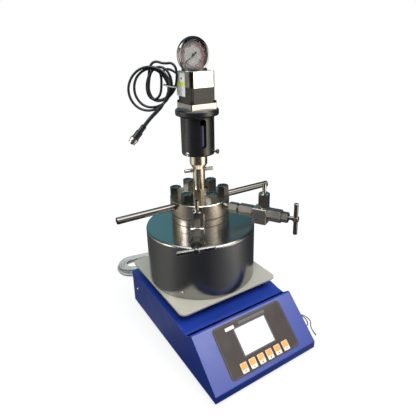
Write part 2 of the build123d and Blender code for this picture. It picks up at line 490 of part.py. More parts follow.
HANK = [(-133, 530), (-131, 511), (-120, 493), (-103, 485), (-86, 487), (-70, 491), (-58, 501), (-47, 518), (-39, 533),
        (-36, 552), (-38, 567), (-44, 570), (-51, 566), (-58, 576), (-68, 576), (-78, 581), (-90, 573), (-108, 567), (-125, 553)]
HOLES = [[(-91, 543), (-84, 556), (-78, 553), (-77, 520), (-82, 513), (-88, 519)],
         [(-118, 528), (-113, 545), (-103, 557), (-98, 552), (-99, 530), (-97, 513), (-93, 499), (-104, 500), (-114, 511)]]
hp = Plane(origin=hk(0, 0), x_dir=R, z_dir=(-N[0], -N[1], 0))
hank = hp * extrude(make_face(Polyline(*[(s, z) for s, z in HANK], close=True)), 8, both=True)
for hole in HOLES:
    hank = hank - (hp * extrude(make_face(Polyline(*[(s, z) for s, z in hole], close=True)), 12, both=True))
hank = chamfer(hank.edges().group_by(Axis((0, 0, 0), N))[0] + hank.edges().group_by(Axis((0, 0, 0), N))[-1], 2.5)
add("motor_lead_hank", hank)

start_pts = [(-10.8, MOTOR_H, 548.0), (-10.8, 48.2, 550.0), (-26.9, 58.4, 563.0), (-46.1, 51.5, 562.0), hk(-63.4, 548.7, 7.8)]
TAIL = [hk(-52, 531, -9.8), hk(-57, 514, -10.6), hk(-66, 498, -11), hk(-80, 484, -11), hk(-94, 471, -11), hk(-106, 456.5, -11)]
add("motor_lead", tube("motor_lead", start_pts, LEAD_R))
add("motor_lead_tail", tube("motor_lead_tail", TAIL, LEAD_R))
e1 = Vector(*TAIL[-1])
dt = (e1 - Vector(*TAIL[-2])).normalized()
dv = (dt.X, dt.Y, dt.Z)


def along(k):
    v = e1 + dt * k
    return (v.X, v.Y, v.Z)


plug = cyl(5.6, 16, along(0), dv) + cyl(7.2, 16, along(15.5), dv) + cyl(8.6, 6.0, along(31.5), dv) \
    + cyl(7.4, 6.5, along(37.5), dv)
plug = plug - cyl(6.0, 5.0, along(39.5), dv)
add("motor_plug", plug)

m_pts = [(GLAND[0], BASE_Y1 + 1, GLAND[2]), (GLAND[0], 162.0, GLAND[2]), (-53.0, 195.0, 26.0), (-78.0, 216.0, 10.0),
         (-101.0, 240.0, 4.2), (-110.0, 258.0, 4.2)]
add("mains_lead", tube("mains_lead", m_pts, MAINS_R))
c1, c2, RO, RI = (-70.0, 277.0), (-20.0, 268.0), 45.0, 14.0
coil_ang = degrees(atan2(c2[1] - c1[1], c2[0] - c1[0]))
span = hypot(c2[0] - c1[0], c2[1] - c1[1])
coil = Pos((c1[0] + c2[0]) / 2, (c1[1] + c2[1]) / 2, 0) * Rot(0, 0, coil_ang) * \
    (extrude(SlotCenterToCenter(span, 2 * RO), 16.0) - extrude(SlotCenterToCenter(span, 2 * RI), 16.0))
coil = chamfer(coil.edges().group_by(Axis.Z)[-1] + coil.edges().group_by(Axis.Z)[0], 3.0)
add("mains_coil", coil)
PLUG_X, PLUG_Y = 12.4, 237.0             # the plug meets the outer edge of the coil
mp = Plane(origin=(PLUG_X, PLUG_Y, 8.0), x_dir=(1, 0, 0), z_dir=(0, -1, 0))
mplug = (mp * Cylinder(6.2, 12, align=al)) + (mp * Pos(0, 0, 11) * Box(24, 15.8, 20, align=al))
for sx in (-6.5, 6.5):
    mplug = mplug + (mp * Pos(sx, 0, 31) * Box(6.3, 1.6, 17, align=al))
add("mains_plug", mplug)

s_pts = [(SOCKET[0] + 9.6, SOCKET[1], SOCKET[2]), (147.0, -129.0, 34.0), (160.0, -134.0, 14.0), (172.0, -146.0, 3.6),
         (178.5, -162.0, 3.4), (173.5, -181.0, 1.3), (158.0, -189.0, 1.3), (146.0, -176.0, 1.3), (149.0, -156.0, 1.3),
         (166.0, -143.5, 1.3), (181.0, -149.0, 1.3), (185.5, -166.0, 1.3), (179.0, -184.0, 3.6), (166.0, -193.0, 3.6),
         (161.5, -207.0, 1.4)]
add("sensor_lead", tube("sensor_lead", s_pts, SENSOR_R))
sp1 = cyl(4.0, 5.0, (BASE_X1 - 4.0, SOCKET[1], SOCKET[2]), (1, 0, 0)) + cyl(6.0, 3.0, (BASE_X1, SOCKET[1], SOCKET[2]), (1, 0, 0)) \
    + cyl(4.4, 7.0, (BASE_X1 + 2.6, SOCKET[1], SOCKET[2]), (1, 0, 0))
add("sensor_socket", sp1)
sd = (Vector(*s_pts[-1]) - Vector(*s_pts[-2])).normalized()
sdv = (sd.X, sd.Y, 0)
add("sensor_probe", cyl(1.35, 12.0, s_pts[-1], sdv))

# ------------------------------------------------------------------ shift to the frame and write out
CORD_NAMES = {"motor_lead", "motor_lead_tail", "motor_lead_hank", "motor_plug", "mains_lead", "mains_coil", "mains_plug", "sensor_lead", "sensor_probe"}
lo = [1e9] * 3
hi = [-1e9] * 3
for n, ss in parts.items():
    if n in CORD_NAMES:
        continue
    for s in ss:
        bb = s.bounding_box()
        for i, (a, b) in enumerate(((bb.min.X, bb.max.X), (bb.min.Y, bb.max.Y), (bb.min.Z, bb.max.Z))):
            lo[i], hi[i] = min(lo[i], a), max(hi[i], b)
shift = Vector(-(lo[0] + hi[0]) / 2, -(lo[1] + hi[1]) / 2, -lo[2])
print("box without cords", [round(v, 3) for v in lo], [round(v, 3) for v in hi])
print("shift", round(shift.X, 4), round(shift.Y, 4), round(shift.Z, 4))
for n, ss in parts.items():
    flat = []
    for s in ss:
        for q in s.solids():
            flat.append(q.moved(Location((shift.X, shift.Y, shift.Z))))
    comp = flat[0] if len(flat) == 1 else Compound(children=flat)
    comp.label = n
    ok = all(q.is_valid for q in flat)
    export_step(comp, f"parts/{n}.step")
    if not ok or len(flat) != len(ss):
        print("CHECK", n, "valid", ok, "solids", len(flat), "expected", len(ss))
print("nodes", len(parts))
for n, (pts, rad, ln, r) in cords.items():
    print("cord", n, "diameter", 2 * r, "length", round(ln, 1), "radii", [round(v, 1) for v in rad])
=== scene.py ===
import bpy
import bmesh
from math import sin, cos, radians, pi, hypot, atan2, sqrt
from mathutils import Vector, Matrix


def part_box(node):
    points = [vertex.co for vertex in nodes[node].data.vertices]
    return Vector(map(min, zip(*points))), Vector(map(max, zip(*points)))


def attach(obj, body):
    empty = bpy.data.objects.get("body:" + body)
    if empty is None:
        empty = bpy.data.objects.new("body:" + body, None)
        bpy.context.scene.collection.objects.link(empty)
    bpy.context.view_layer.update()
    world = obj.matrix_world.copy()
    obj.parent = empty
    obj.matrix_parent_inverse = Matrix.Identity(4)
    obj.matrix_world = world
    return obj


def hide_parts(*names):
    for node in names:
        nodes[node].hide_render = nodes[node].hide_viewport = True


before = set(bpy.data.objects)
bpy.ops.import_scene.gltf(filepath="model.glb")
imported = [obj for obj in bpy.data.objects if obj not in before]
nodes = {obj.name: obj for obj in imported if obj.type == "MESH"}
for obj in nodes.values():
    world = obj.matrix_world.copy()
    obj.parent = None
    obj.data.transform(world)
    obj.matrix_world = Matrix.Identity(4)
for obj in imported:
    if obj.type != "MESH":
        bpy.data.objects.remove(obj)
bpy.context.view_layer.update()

scene = bpy.context.scene
jlo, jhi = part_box("jacket_shell")
X0, Y0 = (jlo.x + jhi.x) / 2, (jlo.y + jhi.y) / 2


def T(x, y, z):
    """Millimetres about the jacket's axis, bench at zero, to the frame in metres."""
    return Vector((x / 1000 + X0, y / 1000 + Y0, z / 1000))


# ------------------------------------------------------------------ camera
YAW, PITCH, ROLL = radians(32.97), radians(20.41), radians(-0.94)
fwd = Vector((sin(YAW) * cos(PITCH), cos(YAW) * cos(PITCH), -sin(PITCH)))
rgt = Vector((cos(YAW), -sin(YAW), 0))
upv = rgt.cross(fwd)
r2 = rgt * cos(ROLL) + upv * sin(ROLL)
u2 = -rgt * sin(ROLL) + upv * cos(ROLL)
cam_data = bpy.data.cameras.new("camera")
cam = bpy.data.objects.new("camera", cam_data)
scene.collection.objects.link(cam)
rot = Matrix((r2, u2, -fwd)).transposed().to_4x4()
cam.matrix_world = Matrix.Translation(T(-402.12, -681.43, 617.46)) @ rot
cam_data.sensor_width = 36.0
cam_data.lens = 391.25 / 416 * 36
cam_data.shift_x = (208 - 214.86) / 416
cam_data.shift_y = (184.71 - 208) / 416
cam_data.clip_start, cam_data.clip_end = 0.02, 60
scene.camera = cam
scene.view_settings.view_transform = "Standard"
scene.view_settings.look = "None"
scene.view_settings.exposure = 0.0
scene.view_settings.gamma = 1.0


# ------------------------------------------------------------------ shader helpers
def mat(name, color=(0.5, 0.5, 0.5), rough=0.5, metal=0.0, coat=0.0, coat_rough=0.1, spec=0.5):
    m = bpy.data.materials.new(name)
    m.use_nodes = True
    nt = m.node_tree
    p = nt.nodes["Principled BSDF"]
    p.inputs["Base Color"].default_value = (*color, 1)
    p.inputs["Roughness"].default_value = rough
    p.inputs["Metallic"].default_value = metal
    p.inputs["Coat Weight"].default_value = coat
    p.inputs["Coat Roughness"].default_value = coat_rough
    p.inputs["Specular IOR Level"].default_value = spec
    return m, nt, p


def coord(nt):
    n = nt.nodes.new("ShaderNodeTexCoord")
    return n.outputs["Object"]


def mapping(nt, vec, scale=(1, 1, 1), loc=(0, 0, 0)):
    n = nt.nodes.new("ShaderNodeMapping")
    n.inputs["Scale"].default_value = scale
    n.inputs["Location"].default_value = loc
    nt.links.new(vec, n.inputs["Vector"])
    return n.outputs["Vector"]


def noise(nt, vec, scale=10.0, detail=4.0, rough=0.55):
    n = nt.nodes.new("ShaderNodeTexNoise")
    n.inputs["Scale"].default_value = scale
    n.inputs["Detail"].default_value = detail
    n.inputs["Roughness"].default_value = rough
    nt.links.new(vec, n.inputs["Vector"])
    return n.outputs["Fac"]


def ramp(nt, fac, stops, interp="LINEAR"):
    n = nt.nodes.new("ShaderNodeValToRGB")
    n.color_ramp.interpolation = interp
    el = n.color_ramp.elements
    while len(el) > 1:
        el.remove(el[-1])
    el[0].position = stops[0][0]
    el[0].color = (*stops[0][1], 1)
    for pos, col in stops[1:]:
        e = el.new(pos)
        e.color = (*col, 1)
    nt.links.new(fac, n.inputs["Fac"])
    return n.outputs["Color"]


def to_range(nt, fac, a, b, c, d, clamp=True):
    n = nt.nodes.new("ShaderNodeMapRange")
    n.clamp = clamp
    n.inputs["From Min"].default_value = a
    n.inputs["From Max"].default_value = b
    n.inputs["To Min"].default_value = c
    n.inputs["To Max"].default_value = d
    nt.links.new(fac, n.inputs["Value"])
    return n.outputs["Result"]


def math(nt, op, a, b=None):
    n = nt.nodes.new("ShaderNodeMath")
    n.operation = op
    for i, v in enumerate((a, b)):
        if v is None:
            continue
        if isinstance(v, (int, float)):
            n.inputs[i].default_value = v
        else:
            nt.links.new(v, n.inputs[i])
    return n.outputs[0]


def mixc(nt, fac, a, b, blend="MIX"):
    n = nt.nodes.new("ShaderNodeMix")
    n.data_type = "RGBA"
    n.blend_type = blend
    for sock, v in ((n.inputs["Factor"], fac), (n.inputs["A"], None), (n.inputs["B"], None)):
        if sock.name == "Factor":
            if isinstance(v, (int, float)):
                sock.default_value = v
            else:
                nt.links.new(v, sock)
    ca = [i for i in n.inputs if i.type == "RGBA"]
    for sock, v in zip(ca, (a, b)):
        if isinstance(v, tuple):
            sock.default_value = (*v, 1)
        else:
            nt.links.new(v, sock)
    return [o for o in n.outputs if o.type == "RGBA"][0]


def bump(nt, p, height, strength=0.3, distance=0.0005, chain=None):
    n = nt.nodes.new("ShaderNodeBump")
    n.inputs["Strength"].default_value = strength
    n.inputs["Distance"].default_value = distance
    nt.links.new(height, n.inputs["Height"])
    if chain is not None:
        nt.links.new(chain, n.inputs["Normal"])
    nt.links.new(n.outputs["Normal"], p.inputs["Normal"])
    return n.outputs["Normal"]


def xyz(nt, vec):
    n = nt.nodes.new("ShaderNodeSeparateXYZ")
    nt.links.new(vec, n.inputs[0])
    return n.outputs


def combine(nt, x=0.0, y=0.0, z=0.0):
    n = nt.nodes.new("ShaderNodeCombineXYZ")
    for i, v in enumerate((x, y, z)):
        if isinstance(v, (int, float)):
            n.inputs[i].default_value = v
        else:
            nt.links.new(v, n.inputs[i])
    return n.outputs[0]


def polar(nt):
    """Radius and height about the upright axis of the vessel, and the angle."""
    c = mapping(nt, coord(nt), loc=(-X0, -Y0, 0))
    s = xyz(nt, c)
    r = math(nt, "SQRT", math(nt, "ADD", math(nt, "MULTIPLY", s[0], s[0]), math(nt, "MULTIPLY", s[1], s[1])))
    a = math(nt, "ARCTAN2", s[1], s[0])
    return r, a, s[2], s


def metal(name, color, rough=0.25, dark=0.82, scratch=0.25, fine=900.0, kind="plain", rvar=0.10):
    """Steel or alloy: colour drift, smudged roughness, fine scratches or turning lines."""
    m, nt, p = mat(name, color, rough, 1.0)
    oc = coord(nt)
    big = noise(nt, oc, 14.0, 3.0)
    col = ramp(nt, big, [(0.3, tuple(c * dark for c in color)), (0.7, color)])
    nt.links.new(col, p.inputs["Base Color"])
    if kind == "turned":
        r, a, z, s = polar(nt)
        v = combine(nt, math(nt, "MULTIPLY", r, fine), math(nt, "MULTIPLY", a, 1.5), math(nt, "MULTIPLY", z, fine))
        h = noise(nt, v, 1.0, 2.0)
    elif kind == "wrap":
        r, a, z, s = polar(nt)
        v = combine(nt, math(nt, "MULTIPLY", r, fine * 0.5), math(nt, "MULTIPLY", a, 3.0), math(nt, "MULTIPLY", z, fine))
        h = noise(nt, v, 1.0, 3.0)
    else:
        h = noise(nt, mapping(nt, oc, (fine, fine * 0.06, fine * 0.4)), 1.0, 3.0)
    sm = noise(nt, oc, 55.0, 3.0)
    nt.links.new(to_range(nt, math(nt, "ADD", math(nt, "MULTIPLY", h, 0.5), math(nt, "MULTIPLY", sm, 0.5)), 0.3, 0.7, max(0.02, rough - rvar), rough + rvar), p.inputs["Roughness"])
    bump(nt, p, h, scratch, 0.00006)
    return m


def paint(name, color, rough=0.35, coat=0.3, coat_rough=0.15, grain=1400.0, drift=0.9, strength=0.25):
    m, nt, p = mat(name, color, rough, 0.0, coat, coat_rough)
    oc = coord(nt)
    big = noise(nt, oc, 7.0, 3.0)
    nt.links.new(ramp(nt, big, [(0.3, tuple(c * drift for c in color)), (0.7, color)]), p.inputs["Base Color"])
    sm = noise(nt, oc, 45.0, 4.0)
    nt.links.new(to_range(nt, sm, 0.3, 0.7, rough - 0.05, rough + 0.07), p.inputs["Roughness"])
    bump(nt, p, noise(nt, oc, grain, 2.0), strength, 0.00004)
    return m


def put(name, *mats):
    o = nodes[name]
    o.data.materials.clear()
    for m in mats:
        o.data.materials.append(m)


# ------------------------------------------------------------------ cord helpers
def nurbs(name, pts, radius_mm, material, body="reactor", res=6, bev=4):
    cu = bpy.data.curves.new(name, "CURVE")
    cu.dimensions = "3D"
    cu.bevel_depth = radius_mm / 1000
    cu.bevel_resolution = bev
    cu.use_fill_caps = True
    cu.resolution_u = res
    sp = cu.splines.new("NURBS")
    sp.points.add(len(pts) - 1)
    for q, c in zip(sp.points, pts):
        v = T(*c)
        q.co = (v.x, v.y, v.z, 1)
    sp.order_u = 3
    sp.use_endpoint_u = True
    cu.materials.append(material)
    o = bpy.data.objects.new(name, cu)
    scene.collection.objects.link(o)
    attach(o, body)
    return o


def centre_of(obj):
    """Points along a curve object, in frame metres."""
    cu = obj.data.copy()
    cu.bevel_depth = 0
    cu.use_fill_caps = False
    tmp = bpy.data.objects.new("tmp_line", cu)
    scene.collection.objects.link(tmp)
    dg = bpy.context.evaluated_depsgraph_get()
    me = bpy.data.meshes.new_from_object(tmp.evaluated_get(dg))
    out = [v.co.copy() for v in me.vertices]
    bpy.data.objects.remove(tmp)
    bpy.data.meshes.remove(me)
    return out


def new_mesh(name, verts, faces, material, body="reactor", smooth=True):
    me = bpy.data.meshes.new(name)
    me.from_pydata([tuple(v) for v in verts], [], faces)
    me.update()
    if smooth:
        for f in me.polygons:
            f.use_smooth = True
    me.materials.append(material)
    o = bpy.data.objects.new(name, me)
    scene.collection.objects.link(o)
    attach(o, body)
    return o


def tube_mesh(name, line, radii, material, body="reactor", sides=20):
    """Closed tube round a line of points, with one radius for each point, in metres."""
    verts, faces = [], []
    n = None
    for i, c in enumerate(line):
        t = (line[min(i + 1, len(line) - 1)] - line[max(i - 1, 0)]).normalized()
        if n is None:
            n = t.orthogonal().normalized()
        n = (n - t * n.dot(t)).normalized()
        b = t.cross(n)
        for k in range(sides):
            a = 2 * pi * k / sides
            verts.append(c + (n * cos(a) + b * sin(a)) * radii[i])
    for i in range(len(line) - 1):
        for k in range(sides):
            a, b2 = i * sides + k, i * sides + (k + 1) % sides
            faces.append((a, b2, b2 + sides, a + sides))
    faces.append(tuple(range(sides))[::-1])
    faces.append(tuple((len(line) - 1) * sides + k for k in range(sides)))
    return new_mesh(name, verts, faces, material, body)


def sample(line, a, b, n):
    """n points from distance a to distance b (metres) along a line; negative counts from the end."""
    d = [0.0]
    for p, q in zip(line, line[1:]):
        d.append(d[-1] + (q - p).length)
    L = d[-1]
    a, b = (a + L if a < 0 else a), (b + L if b <= 0 else b)
    out = []
    for i in range(n):
        s = a + (b - a) * i / (n - 1)
        k = max(j for j in range(len(d)) if d[j] <= s + 1e-12)
        k = min(k, len(line) - 2)
        f = (s - d[k]) / max(d[k + 1] - d[k], 1e-9)
        out.append(line[k].lerp(line[k + 1], f))
    return out


# ------------------------------------------------------------------ materials of cords
def jacket_mat(name, color, rough=0.4, grain=0.25):
    m, nt, p = mat(name, color, rough, 0.0, spec=0.5)
    oc = coord(nt)
    big = noise(nt, oc, 60.0, 3.0)
    nt.links.new(ramp(nt, big, [(0.3, tuple(c * 0.82 for c in color)), (0.72, tuple(min(1, c * 1.08) for c in color))]), p.inputs["Base Color"])
    nt.links.new(to_range(nt, noise(nt, oc, 180.0, 3.0), 0.3, 0.7, rough - 0.08, rough + 0.1), p.inputs["Roughness"])
    bump(nt, p, noise(nt, oc, 1500.0, 3.0), grain, 0.00005)
    return m


M_BLACK_CORD = jacket_mat("black_cord", (0.005, 0.009, 0.013), 0.42)
M_PALE_CORD = jacket_mat("pale_cord", (0.36, 0.385, 0.36), 0.42)
M_SENSOR_CORD = jacket_mat("sensor_cord", (0.055, 0.065, 0.075), 0.42)

# ------------------------------------------------------------------ motor lead, in the plane of the hank
N = Vector((sin(YAW), cos(YAW), 0))
R = Vector((cos(YAW), -sin(YAW), 0))


def hk(s, z, off=0.0):
    v = N * (off - 5.0) + R * s
    return (v.x, v.y, z)


LEAD_START = [(-10.8, 28.2, 548.0), (-10.8, 48.2, 550.0), (-26.9, 58.4, 563.0), (-46.1, 51.5, 562.0), hk(-60.0, 551, 9)]
LEAD_LOOPS = [hk(-51, 541, 6), hk(-46, 528, 6), hk(-52, 515, 6),
              # inner loop with the high arch
              hk(-63, 508, 6), hk(-75, 504, 6), hk(-88, 508, 6), hk(-94, 522, 6), hk(-94, 538, 6), hk(-92, 556, 6), hk(-89.5, 568, 6),
              hk(-83.5, 577, 6), hk(-74.5, 579, 6), hk(-65.5, 575.5, 6), hk(-56, 575, 5), hk(-46.5, 576, 4), hk(-39.5, 569.5, 4), hk(-37, 559, 4), hk(-37.5, 546, 4), hk(-41, 528, 4), hk(-52, 513, 3.5),
              # narrow inner loop
              hk(-66, 505, 3), hk(-80, 503, 3), hk(-91, 511, 3), hk(-94, 525, 2.5), hk(-92, 542, 2), hk(-89, 555, 2), hk(-83, 564, 2), hk(-74.5, 565.5, 2.5),
              hk(-68.5, 557, 3), hk(-67.5, 545, 3), hk(-68.5, 530, 3), hk(-71, 517, 2), hk(-78, 508, 1.5), hk(-87, 507, 0.8), hk(-94, 514, 0), hk(-97, 525, 0),
              hk(-96, 541, 0), hk(-89, 557, 0), hk(-77, 569, 0), hk(-63, 569, -0.5), hk(-52, 558, -0.5), hk(-46.5, 541, -0.5), hk(-49, 523, -1),
              # second large loop
              hk(-58, 505, -1.5), hk(-72, 495, -2), hk(-90, 491.5, -2.5), hk(-106, 496, -3), hk(-118, 510, -3), hk(-122, 529, -3),
              hk(-117, 548, -3), hk(-105, 561, -3), hk(-90, 567, -3), hk(-75, 564, -3.5), hk(-62, 553, -4), hk(-54, 537, -4), hk(-54, 519, -4.5),
              # largest loop
              hk(-64, 499, -5), hk(-79, 489, -5.5), hk(-98, 485.5, -6), hk(-117, 492, -6), hk(-130, 509, -6), hk(-133, 531, -6),
              hk(-124, 552, -6), hk(-109, 565.5, -6), hk(-90, 571, -6), hk(-72, 567, -6.5), hk(-58, 557, -7), hk(-50, 543, -8.5)]
LEAD_TAIL = [hk(-52, 529, -9.8), hk(-57, 514, -10.6), hk(-66, 498, -11), hk(-80, 484, -11), hk(-94, 471, -11), hk(-106, 456.5, -11)]
lead = nurbs("motor_lead_cord", LEAD_START + LEAD_LOOPS + LEAD_TAIL, 2.5, M_BLACK_CORD, res=5)
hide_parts("motor_lead", "motor_lead_hank", "motor_lead_tail")
lead_line = centre_of(lead)
LEAD_LEN = sum((b - a).length for a, b in zip(lead_line, lead_line[1:]))

# heat-shrink sleeve over the tail, and the tie round the bundle
M_SLEEVE = jacket_mat("heat_shrink", (0.014, 0.018, 0.024), 0.3, 0.15)
sl = sample(lead_line, -0.062, -0.0005, 22)
sleeve = tube_mesh("motor_lead_sleeve", sl, [0.00265 + 0.0012 * min(1, i / 4) for i in range(22)], M_SLEEVE)

M_TIE, nt, p = mat("cable_tie", (0.40, 0.40, 0.38), 0.42)
nt.links.new(ramp(nt, noise(nt, coord(nt), 300.0, 2.0), [(0.3, (0.30, 0.30, 0.28)), (0.7, (0.44, 0.44, 0.42))]), p.inputs["Base Color"])
bump(nt, p, noise(nt, coord(nt), 1800.0, 2.0), 0.3, 0.0001)


def band(name, centre, ux, uy, ax, rx, ry, width, thick, material, n=40):
    """A flat strap round an oval."""
    verts, faces = [], []
    for i in range(n):
        a = 2 * pi * i / n
        e = Vector(ux) * cos(a) * 1.0
        d = Vector(ux) * (cos(a) * rx) + Vector(uy) * (sin(a) * ry)
        o2 = Vector(ux) * (cos(a) * (rx + thick)) + Vector(uy) * (sin(a) * (ry + thick))
        for q, w in ((d, -width / 2), (d, width / 2), (o2, width / 2), (o2, -width / 2)):
            verts.append(centre + q + Vector(ax) * w)
    for i in range(n):
        a, b = i * 4, ((i + 1) % n) * 4
        for k in range(4):
            faces.append((a + k, a + (k + 1) % 4, b + (k + 1) % 4, b + k))
    return new_mesh(name, verts, faces, material, smooth=False)


tie_ax = (R * 0.18 + Vector((0, 0, 1)) * 0.98).normalized()
tie_ux = (R - tie_ax * R.dot(tie_ax)).normalized()
tie = band("bundle_tie", T(*hk(-49.5, 533, -1.5)), tie_ux, N, tie_ax, 0.0140, 0.0115, 0.0024, 0.0009, M_TIE)

# ------------------------------------------------------------------ mains lead
MAINS_START = [(-40.0, 124.2, 40.0), (-40.0, 162.0, 40.0), (-53.0, 195.0, 26.0), (-78.0, 216.0, 10.0), (-101.0, 240.0, 4.2),
               (-110.0, 258.0, 4.2)]
cc1, cc2 = Vector((-70.0, 277.0)), Vector((-20.0, 268.0))
cm = (cc1 + cc2) / 2
cu_ = (cc2 - cc1).normalized()
cv_ = Vector((-cu_.y, cu_.x))
chalf = (cc2 - cc1).length / 2


def oval(deg, side, r, z):
    """Point on a turn of the coil: side -1 is the left end, +1 the right end."""
    u = side * chalf + r * cos(radians(deg))
    v = r * sin(radians(deg))
    q = cm + cu_ * u + cv_ * v
    return (q.x, q.y, z)


coil_pts = []
TURN = [(180, -1), (144, -1), (108, -1), (90, -1), (90, 1), (63, 1), (30, 1), (0, 1), (-36, 1), (-72, 1), (-92, 1), (-92, -1), (-126, -1), (-155, -1)]
LAYERS = [(40.8, 33.0, 4.0, 4.0), (33.0, 25.2, 4.0, 4.0), (25.2, 19.0, 4.0, 11.0), (20.5, 28.2, 12.0, 12.0), (28.2, 36.0, 12.0, 12.0), (36.0, 38.0, 12.0, 11.6)]
for ti, (ra, rb, za, zb) in enumerate(LAYERS):
    for k, (deg, side) in enumerate(TURN):
        f = k / len(TURN)
        if ti == len(LAYERS) - 1 and k > 6:
            break
        wob = 0.7 * sin(1.7 * ti + 0.9 * k)
        coil_pts.append(oval(deg, side, ra + (rb - ra) * f + (wob if 0 < ti else 0), za + (zb - za) * f))
COIL_END = [(13.0, 262.0, 11.5), (12.8, 249.0, 9.5), (12.4, 237.6, 8.2)]
mains = nurbs("mains_cord", MAINS_START + coil_pts + COIL_END, 4.0, M_PALE_CORD, res=5)
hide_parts("mains_lead", "mains_coil")
mains_line = centre_of(mains)
MAINS_LEN = sum((b - a).length for a, b in zip(mains_line, mains_line[1:]))

# ------------------------------------------------------------------ sensor lead
SENSOR = [(132.8, -128.0, 40.0), (147.0, -129.0, 34.0), (160.0, -134.0, 14.0), (172.0, -146.0, 3.6),
          (178.5, -162.0, 3.4), (173.5, -181.0, 1.3), (158.0, -189.0, 1.3), (146.0, -176.0, 1.3), (149.0, -156.0, 1.3),
          (166.0, -143.5, 1.3), (181.0, -149.0, 1.3), (185.5, -166.0, 1.3), (179.0, -184.0, 3.6), (166.0, -193.0, 3.6),
          (161.5, -207.0, 1.4)]
sensor = nurbs("sensor_cord", SENSOR, 1.1, M_SENSOR_CORD, res=6, bev=3)
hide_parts("sensor_lead")
sensor_line = centre_of(sensor)
SENSOR_LEN = sum((b - a).length for a, b in zip(sensor_line, sensor_line[1:]))
print("CORD LENGTHS", round(LEAD_LEN, 3), round(MAINS_LEN, 3), round(SENSOR_LEN, 3))

# ------------------------------------------------------------------ panel frame
BASE_LO, BASE_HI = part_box("base_housing")
RIDGE_Y, RIDGE_Z, LIP_Y, LIP_Z = -165.0, 98.2, -246.0, 22.4
pdy, pdz = LIP_Y - RIDGE_Y, LIP_Z - RIDGE_Z
pln = hypot(pdy, pdz)
PTY, PTZ = pdy / pln, pdz / pln
PN = Vector((0, PTZ, -PTY))
PDOWN = Vector((0, PTY, PTZ))


def on_panel(x, s, lift=0.0):
    return T(x, RIDGE_Y + PTY * s + PN.y * lift, RIDGE_Z + PTZ * s + PN.z * lift)


def rounded(w, h, r, n=6):
    """Outline of a rounded rectangle about zero."""
    out = []
    for cx, cy, a0 in ((w / 2 - r, h / 2 - r, 0), (-w / 2 + r, h / 2 - r, 90), (-w / 2 + r, -h / 2 + r, 180), (w / 2 - r, -h / 2 + r, 270)):
        for i in range(n + 1):
            a = radians(a0 + 90 * i / n)
            out.append((cx + r * cos(a), cy + r * sin(a)))
    return out


def slab(name, outline, place, thick, material, body="reactor", bevel=0.0001):
    """Thin raised piece: outline in mm, place(u, v, lift) gives the point."""
    n = len(outline)
    verts = [place(u, v, 0.0) for u, v in outline] + [place(u, v, thick) for u, v in outline]
    faces = [tuple(range(n))[::-1], tuple(range(n, 2 * n))]
    faces += [(i, (i + 1) % n, (i + 1) % n + n, i + n) for i in range(n)]
    o = new_mesh(name, verts, faces, material, body, smooth=False)
    bm = bmesh.new()
    bm.from_mesh(o.data)
    bmesh.ops.recalc_face_normals(bm, faces=bm.faces)
    bm.to_mesh(o.data)
    bm.free()
    if bevel:
        b = o.modifiers.new("soft_edge", "BEVEL")
        b.width = bevel
        b.segments = 2
        b.limit_method = "ANGLE"
    return o


# ------------------------------------------------------------------ base
BLUE = (0.010, 0.036, 0.270)
M_BLUE = paint("blue_powder_coat", BLUE, 0.34, 0.30, 0.22, 1100.0, 0.88, 0.2)
put("base_housing", M_BLUE)
put("base_floor_plate", paint("floor_sheet_paint", (0.03, 0.03, 0.04), 0.6, 0.0))
M_RUBBER = jacket_mat("foot_rubber", (0.02, 0.02, 0.021), 0.7, 0.5)
put("rubber_feet", M_RUBBER)
M_OVL = paint("overlay_film", (0.026, 0.014, 0.008), 0.50, 0.0, 0.35, 2600.0, 0.92, 0.35)
put("panel_overlay", M_OVL)

# display: pale screen with a soft edge and a faint segment field
M_SCREEN, nt, p = mat("display_screen", (0.86, 0.88, 0.90), 0.14, 0.0, 0.6, 0.05)
c = mapping(nt, coord(nt), loc=tuple(-on_panel(-1.0, 46.4, 0.7)))
s = xyz(nt, c)
ud = math(nt, "DIVIDE", math(nt, "ABSOLUTE", s[0]), 0.0377)
vd = math(nt, "DIVIDE", math(nt, "ABSOLUTE", math(nt, "ADD", math(nt, "MULTIPLY", s[1], PTY), math(nt, "MULTIPLY", s[2], PTZ))), 0.0261)
edge = math(nt, "MAXIMUM", ud, vd)
soft = noise(nt, mapping(nt, coord(nt), (18, 18, 18)), 1.0, 2.0)
lit = ramp(nt, soft, [(0.3, (0.80, 0.84, 0.90)), (0.7, (0.90, 0.915, 0.93))])
nt.links.new(mixc(nt, to_range(nt, edge, 0.93, 0.965, 0.0, 1.0), lit, (0.30, 0.31, 0.33)), p.inputs["Base Color"])
grid = math(nt, "MULTIPLY", math(nt, "SINE", math(nt, "MULTIPLY", s[0], 5200.0)), math(nt, "SINE", math(nt, "MULTIPLY", s[2], 5200.0)))
bump(nt, p, grid, 0.05, 0.00002)
nt.links.new(mixc(nt, to_range(nt, edge, 0.93, 0.965, 0.0, 1.0), (0.9, 0.93, 1.0), (0, 0, 0)), p.inputs["Emission Color"])
p.inputs["Emission Strength"].default_value = 0.35
put("display_window", M_SCREEN)

